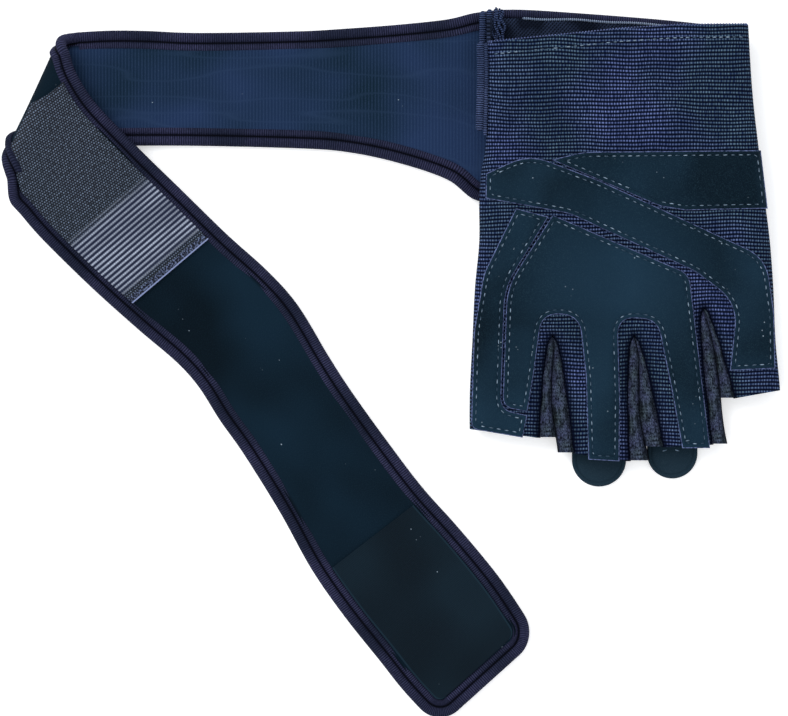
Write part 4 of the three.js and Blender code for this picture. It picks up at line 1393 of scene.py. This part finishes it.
def stitches(name, fabric):
    """All the noted stitches as one mesh, each a copy of one small bent capsule."""
    bpy.ops.object.select_all(action="DESELECT")
    bpy.ops.mesh.primitive_uv_sphere_add(segments=6, ring_count=5, radius=1)
    model = bpy.context.active_object
    bpy.ops.object.mode_set(mode="EDIT")
    bpy.ops.transform.rotate(value=pi / 2, orient_axis="Y", center_override=(0, 0, 0))
    bpy.ops.object.mode_set(mode="OBJECT")
    shape = np.array([vertex.co[:] for vertex in model.data.vertices])
    faces = [list(face.vertices) for face in model.data.polygons]
    bpy.data.objects.remove(model)
    corners, polygons = [], []
    chance = random.Random(7)
    for first, last in stitch_groups:
        along = (last - first).normalized()
        aside = Vector((0, 0, 1)).cross(along).normalized()
        up = along.cross(aside)
        stretch = (last - first).length / 2 * chance.uniform(0.88, 1.05)
        slew = chance.uniform(-0.07, 0.07)
        start = len(corners)
        for x, y, z in shape:
            across = aside * (y * STITCH_RADIUS + x * slew * stretch)
            sunk = up * (z * STITCH_RADIUS - STITCH_SAG * x * x)
            corners.append((first + last) / 2 + along * (x * stretch) + across + sunk)
        polygons += [[start + index for index in face] for face in faces]
    mesh = bpy.data.meshes.new(name)
    mesh.from_pydata([tuple(corner) for corner in corners], [], polygons)
    piece = bpy.data.objects.new(name, mesh)
    bpy.context.scene.collection.objects.link(piece)
    point_outwards(piece)
    finish_piece(piece, None, fabric, angle=80)


# Gussets between the stalls

GUSSET_RING = 16
GUSSET_ROWS = 56
GUSSET_SWAY = 1.1 * MM
GUSSET_OVERLAP = 1.5 * MM
# How far a roll passes the gap's middle, reaches under the stall and stays below the palm
ROLL_LAP = 0.35 * MM
ROLL_TUCK = 1.2 * MM
ROLL_SINK = 1.4 * MM


def gusset_roll(crotch, index, side):
    """One of the two soft rolls in a gap, from the stalls' ends to the crotch. side is -1 left, 1 right."""
    top = crotch["up"] * GLOVE_LENGTH
    stall_end = FINGER_ENDS[index]["right"] if side < 0 else FINGER_ENDS[index + 1]["left"]
    end = stall_end * GLOVE_LENGTH + 0.3 * MM

    def place(i, j):
        share = j / GUSSET_ROWS
        y = end + (top + GUSSET_OVERLAP - end) * share
        half = float(gap_half(crotch, y))
        sway = GUSSET_SWAY * sin(5.6 * (y / top) + 1.7 + index) * min(1, half / (2 * MM))
        middle = float(gap_middle(crotch, y))
        inner = middle + sway - side * ROLL_LAP
        outer = middle + side * (half + ROLL_TUCK)
        angle = 2 * pi * (i % GUSSET_RING) / GUSSET_RING
        width = abs(outer - inner) / 2
        lump = 1 + 0.12 * sin(17 * share + 2 * side + index) + 0.08 * sin(41 * share + angle)
        taper = 0.5 + 0.5 * (1 - share) ** 0.4
        height = (GLOVE_HEIGHT / 2 - ROLL_SINK) * taper * lump
        x = (outer + inner) / 2 + cos(angle) * width
        return on(seam_height, x, y, sin(angle) * height)

    def pattern(i, j):
        return i / GUSSET_RING * 2 * GUSSET_WIDTH, j / GUSSET_ROWS * (top - end)

    piece = placed_grid("gusset_roll", GUSSET_RING, GUSSET_ROWS, place, pattern)
    close_tube(piece)
    return piece


def gussets():
    for index, crotch in enumerate(CROTCHES):
        rolls = [gusset_roll(crotch, index, side) for side in (-1, 1)]
        piece = join("gusset_cloth_" + crotch["between"], rolls)
        finish_piece(piece, "gusset_" + crotch["between"], "gusset", angle=70)


# Pull tabs

TAB_STEPS = 48
TAB_TUCK = 5 * MM


def pull_tab(tab):
    """Half disc of suede that reaches out from under a stall's end."""
    centre = Vector((tab["across"] * GLOVE_WIDTH, tab["up"] * GLOVE_LENGTH))
    radius = TAB_RADIUS * tab["size"]
    outline = []
    for step in range(TAB_STEPS + 1):
        angle = pi * (1 + step / TAB_STEPS)
        outline.append(centre + Vector((cos(angle), sin(angle))) * radius)
    outline += [centre + Vector((radius, TAB_TUCK)), centre + Vector((-radius, TAB_TUCK))]

    def height_at(x, y):
        return TAB_BED + 1.0 * MM * smooth_step(y, centre.y - radius, centre.y + 4 * MM)

    suede_piece(tab["name"], outline, height_at, "tab_suede", "tab_suede", TAB_THICKNESS * 0.8)


# Bound edges of the slit and the cuff

PIPING_RING = 14
RIB_ROWS = 5
# Top of the back's piping above the finger ends, and the yarn ends beside it
PIPING_TOP = 1.037 * GLOVE_LENGTH
YARN_COUNT = 6
YARN_STEPS = 24
YARN_RADIUS = 0.42 * MM
YARN_LENGTH = 13.5 * MM
YARN_SWING = 0.55 * MM
OVERLOCK_RADIUS = 0.4 * MM
UPRIGHT_STEPS = 12
CUFF_STEPS = 60
BACK_LEVEL = BINDING_HEIGHT + 4 * SEAM_GAP + 1.4 * MM


def piping(name, points, radius, rib_depth=0.12 * MM, rib=BINDING_RIB):
    """A ribbed tube along a path, closed at both ends, its ribs square to it."""
    sums = distances_along(points)
    rows = max(8, int(sums[-1] / rib * RIB_ROWS))
    places = np.linspace(0, sums[-1], rows + 1)
    line = [Vector([float(np.interp(place, sums, [point[axis] for point in points])) for axis in range(3)])
            for place in places]

    def place(i, j):
        along = (line[min(rows, j + 1)] - line[max(0, j - 1)]).normalized()
        aside = along.cross(Vector((0, 0, 1))).normalized()
        up = aside.cross(along)
        angle = 2 * pi * (i % PIPING_RING) / PIPING_RING
        ribbed = radius + rib_depth * cos(2 * pi * places[j] / rib)
        end = min(places[j], sums[-1] - places[j]) / radius
        ribbed *= sqrt(max(0.05, 1 - (1 - min(1, end)) ** 2))
        return line[j] + aside * cos(angle) * ribbed + up * sin(angle) * ribbed

    def pattern(i, j):
        return i / PIPING_RING * 2 * pi * radius, float(places[j])

    piece = placed_grid(name, PIPING_RING, rows, place, pattern)
    close_tube(piece)
    return piece


# Tubes of the slit's bindings, in millimetres: beside the slit, under the top, over the binding's level, sway
# and radius. length is a share of the binding's length.
PALM_TUBES = table("aside lower length lift sway radius rib", [
    (-2.2, 0, 1, 0, 0.25, 1.35, 0.78),
    (-0.3, 0.3, 1.05, 0.35, 0.2, 0.75, 0.7),
])
BACK_TUBES = table("aside lower length lift sway radius rib", [
    (-1.3, 0.6, 1, 0, 0, 1.2, 0.78),
    (1.05, 0, 1, 0, 0, 1.1, 0.78),
])


def slit_binding(name, node, tubes, top, bound_from, level):
    """Upright ribbed tubes beside the slit, from a top down to the end of the bound length."""
    pieces = []
    for tube in tubes:
        start = top - tube["lower"] * MM
        foot = bound_from - SLIT_BINDING_LENGTH * tube["length"]
        points = []
        for step in range(UPRIGHT_STEPS + 1):
            share = step / UPRIGHT_STEPS
            x = SLIT["across"] * GLOVE_WIDTH + tube["aside"] * MM
            x += tube["sway"] * MM * sin(pi * share * 1.5)
            points.append(world(x, start + (foot - start) * share, level + tube["lift"] * MM))
        pieces.append(piping(name, points, tube["radius"] * MM, rib=tube["rib"] * MM))
    finish_piece(join(name, pieces), node, "piping", angle=80)


def slit_bindings():
    slit_x = SLIT["across"] * GLOVE_WIDTH
    top = SLIT["binding_top"] * GLOVE_LENGTH
    level = float(palm_height(slit_x + 0.8 * MM, top - 10 * MM)) - 0.3 * MM
    slit_binding("slit_binding_palm_tape", "slit_binding_palm", PALM_TUBES, top, top, level)
    back_edge = cuff_edge(BACK_CUFF_EDGE, slit_x)
    slit_binding("slit_piping_back", "slit_binding_back", BACK_TUBES, PIPING_TOP, back_edge, BACK_LEVEL)


def yarn_ends():
    """The crumpled end of the seam in the cuff's corner."""
    yarns = []
    for number in range(YARN_COUNT):
        points = []
        for step in range(YARN_STEPS + 1):
            share = step / YARN_STEPS
            swing = sin(9.0 * share + 1.9 * number) + 0.6 * sin(17 * share + 2.7 * number)
            x = SLIT["across"] * GLOVE_WIDTH + (2.6 + 0.62 * number) * MM + swing * YARN_SWING
            y = PIPING_TOP + 0.9 * MM - (0.2 + 0.35 * abs(number - 2)) * MM - YARN_LENGTH * share
            z = BACK_LEVEL + 0.5 * MM + YARN_SWING * cos(8 * share + 2.3 * number)
            points.append(world(x, y, z))
        yarns.append(piping("yarn", points, YARN_RADIUS, rib=0.8 * MM, rib_depth=0.06 * MM))
    finish_piece(join("cuff_yarn_ends", yarns), None, "piping", angle=80)


def cuff_edges():
    """The knitted loops along the palm's cuff and the overlock thread along the back's."""
    left, right = hand_edge(GLOVE_LENGTH, "left"), hand_edge(GLOVE_LENGTH, "right")
    loops, beads = [], []
    for step in range(CUFF_STEPS + 1):
        share = step / CUFF_STEPS
        x = left + share * (right - left)
        x += (0.5 - share) * 0.8 * MM
        y = cuff_edge(PALM_CUFF_EDGE, x) - 0.2 * MM
        loops.append(on(palm_height, x, y, SEAM_GAP / 2 - KNIT_WALL * 0.4))
        if 0.13 < share < 0.97:
            y = cuff_edge(BACK_CUFF_EDGE, x) + 0.35 * MM * sin(23 * share) * (1 - share)
            beads.append(on(back_height, x, y, KNIT_WALL))
    hem = piping("cuff_hem_loops", loops, HEM_LOOP_RADIUS, rib=KNIT_COLUMN, rib_depth=0.14 * MM)
    finish_piece(hem, None, "hem", angle=80)
    overlock = piping("cuff_overlock", beads, OVERLOCK_RADIUS, rib=OVERLOCK_RIB, rib_depth=0.1 * MM)
    finish_piece(overlock, None, "overlock", angle=80)


# Loose thread ends: the rise over the knit and the slant are millimetres
THREAD_BITS = table("across up rise slant", [
    (0.625, 0.027, 0.1, 0.5),
    (0.665, 0.03, 0.1, -0.4),
    (0.698, 0.05, 1.3, 0.3),
])


def hem_stitches():
    left, right = hand_edge(GLOVE_LENGTH, "left") + 2 * MM, hand_edge(GLOVE_LENGTH, "right") - 1.5 * MM
    path = [(x, cuff_edge(PALM_CUFF_EDGE, x) - HEM_DEPTH) for x in np.linspace(left, right, 60)]
    stitch_row(path, knit_top, closed=False, pitch=2.3 * MM)
    for bit in THREAD_BITS:
        x, y = bit["across"] * GLOVE_WIDTH, bit["up"] * GLOVE_LENGTH
        z = float(knit_top(x, y)) + bit["rise"] * MM
        stitch_groups.append((world(x - 0.9 * MM, y, z), world(x + 0.9 * MM, y + bit["slant"] * MM, z)))


# Thumb stall

THUMB_RING = 40
THUMB_ROWS = 24


def thumb_stall():
    middle_y = (thumb_top + thumb_bottom) / 2
    start_x = hand_edge(middle_y, "left") + GLOVE_HEIGHT / 2

    def place(i, j):
        share = j / THUMB_ROWS
        angle = 2 * pi * (i % THUMB_RING) / THUMB_RING
        side = -cos(angle)
        bulge = max(0, 1 - abs(side) ** 4) ** 0.25
        sign = 1 if sin(angle) >= 0 else -1
        x = start_x + (THUMB_LENGTH - start_x) * share
        pinch = 1 - 0.05 * share + 0.012 * sin(9 * share + side * 4)
        z = THUMB_HEIGHT / 2 + sign * bulge * THUMB_HEIGHT / 2 * pinch
        return world(x, middle_y + side * THUMB_WIDTH / 2 * pinch, max(z, 0.05 * MM))

    def pattern(i, j):
        return i / THUMB_RING * 2 * THUMB_WIDTH, j / THUMB_ROWS * (THUMB_LENGTH - start_x)

    piece = placed_grid("thumb_stall_knit", THUMB_RING, THUMB_ROWS, place, pattern)
    merge_doubles(piece)
    shade_points(piece, np.ones(len(piece.data.vertices)))
    point_outwards(piece)
    thicken(piece, KNIT_WALL)
    finish_piece(piece, "thumb_stall", "knit", angle=60)


# Materials of the glove

materials = {}
FABRICS = table("fabric make name colours", [
    ("knit", knit_material, "navy_knit", "#02071a #13234c #98adf2 #80a2b8"),
    ("inside", twill_material, "cuff_inside", "#080d18 #54658c"),
    ("gusset", fuzzy_material, "brushed_gusset", "#03050c #53646c #6b73a2"),
    ("suede", suede_material, "palm_suede", "#0a1924 #1f394d #34505f"),
    ("tab_suede", suede_material, "tab_suede", "#1c2d39 #243846 #40525f"),
    ("cut_edge", cut_edge_material, "suede_cut_edge", "#1b2843 #7482b2"),
    ("binding", groove_shaded_material, "wrap_binding", "#121628 #2d3349 #454668"),
    ("piping", binding_material, "cuff_piping", "#0c142a #465880 #6878a6"),
    ("hem", hem_material, "hem_loops", "#101a38 #5a6896 #7d8bbd"),
    ("overlock", overlock_material, "overlock_thread", "#4b5c76 #93a4be #b4c2da"),
    ("lining", lining_material, "wrap_lining", "#0d2130 #213355 #3d5477"),
    ("loop_face", loop_material, "wrap_outer_face", "#08141d #112534 #203846"),
    ("web", web_material, "woven_panel", "#060c16 #8496b2 #101a38 #dce8ff"),
    ("hook", hook_material, "hook_field", "#081620 #192f3d"),
    ("stitch", thread_material, "pad_thread", "#34495c #93a8bd"),
])


def make_materials():
    for row in FABRICS:
        materials[row["fabric"]] = row["make"](row["name"], *row["colours"].split())


# Assembly

camera_and_light()
floor()
make_materials()
palm_panel()
back_panel()
gussets()
thumb_stall()
for node, corners, bed, skip in (
        ("palm_pad", PALM_PAD, knit_top, None),
        ("edge_strip", EDGE_STRIP, knit_top, None),
        ("wrist_patch", WRIST_PATCH, knit_top, under_band),
        ("palm_band", PALM_BAND, over_patch, None)):
    outline = rounded_outline(corners)
    suede_piece(node, outline, bed, "suede", "cut_edge")
    pad_stitches(outline, bed, skip)
hem_stitches()
stitches("pad_stitches", "stitch")
for tab in PULL_TABS:
    pull_tab(tab)
slit_bindings()
yarn_ends()
cuff_edges()
strap = strap_sheet()
tape = strap_binding()
web = face_patch("web_cloth", "web_panel", "web", WEB_START, WEB_END,
                 PATCH_MARGIN - 0.8 * MM, PATCH_THICKNESS)
hook = face_patch("hook_field", "hook_patch", "hook", HOOK_START, None,
                  PATCH_MARGIN, PATCH_THICKNESS * 0.8)
half_widths = [station_at(place)[3] for place in length_places]
strap_area = sum(
    step * (a + b) for step, a, b in zip(np.diff(length_sums).tolist(), half_widths, half_widths[1:]))
2 * max(half_widths)
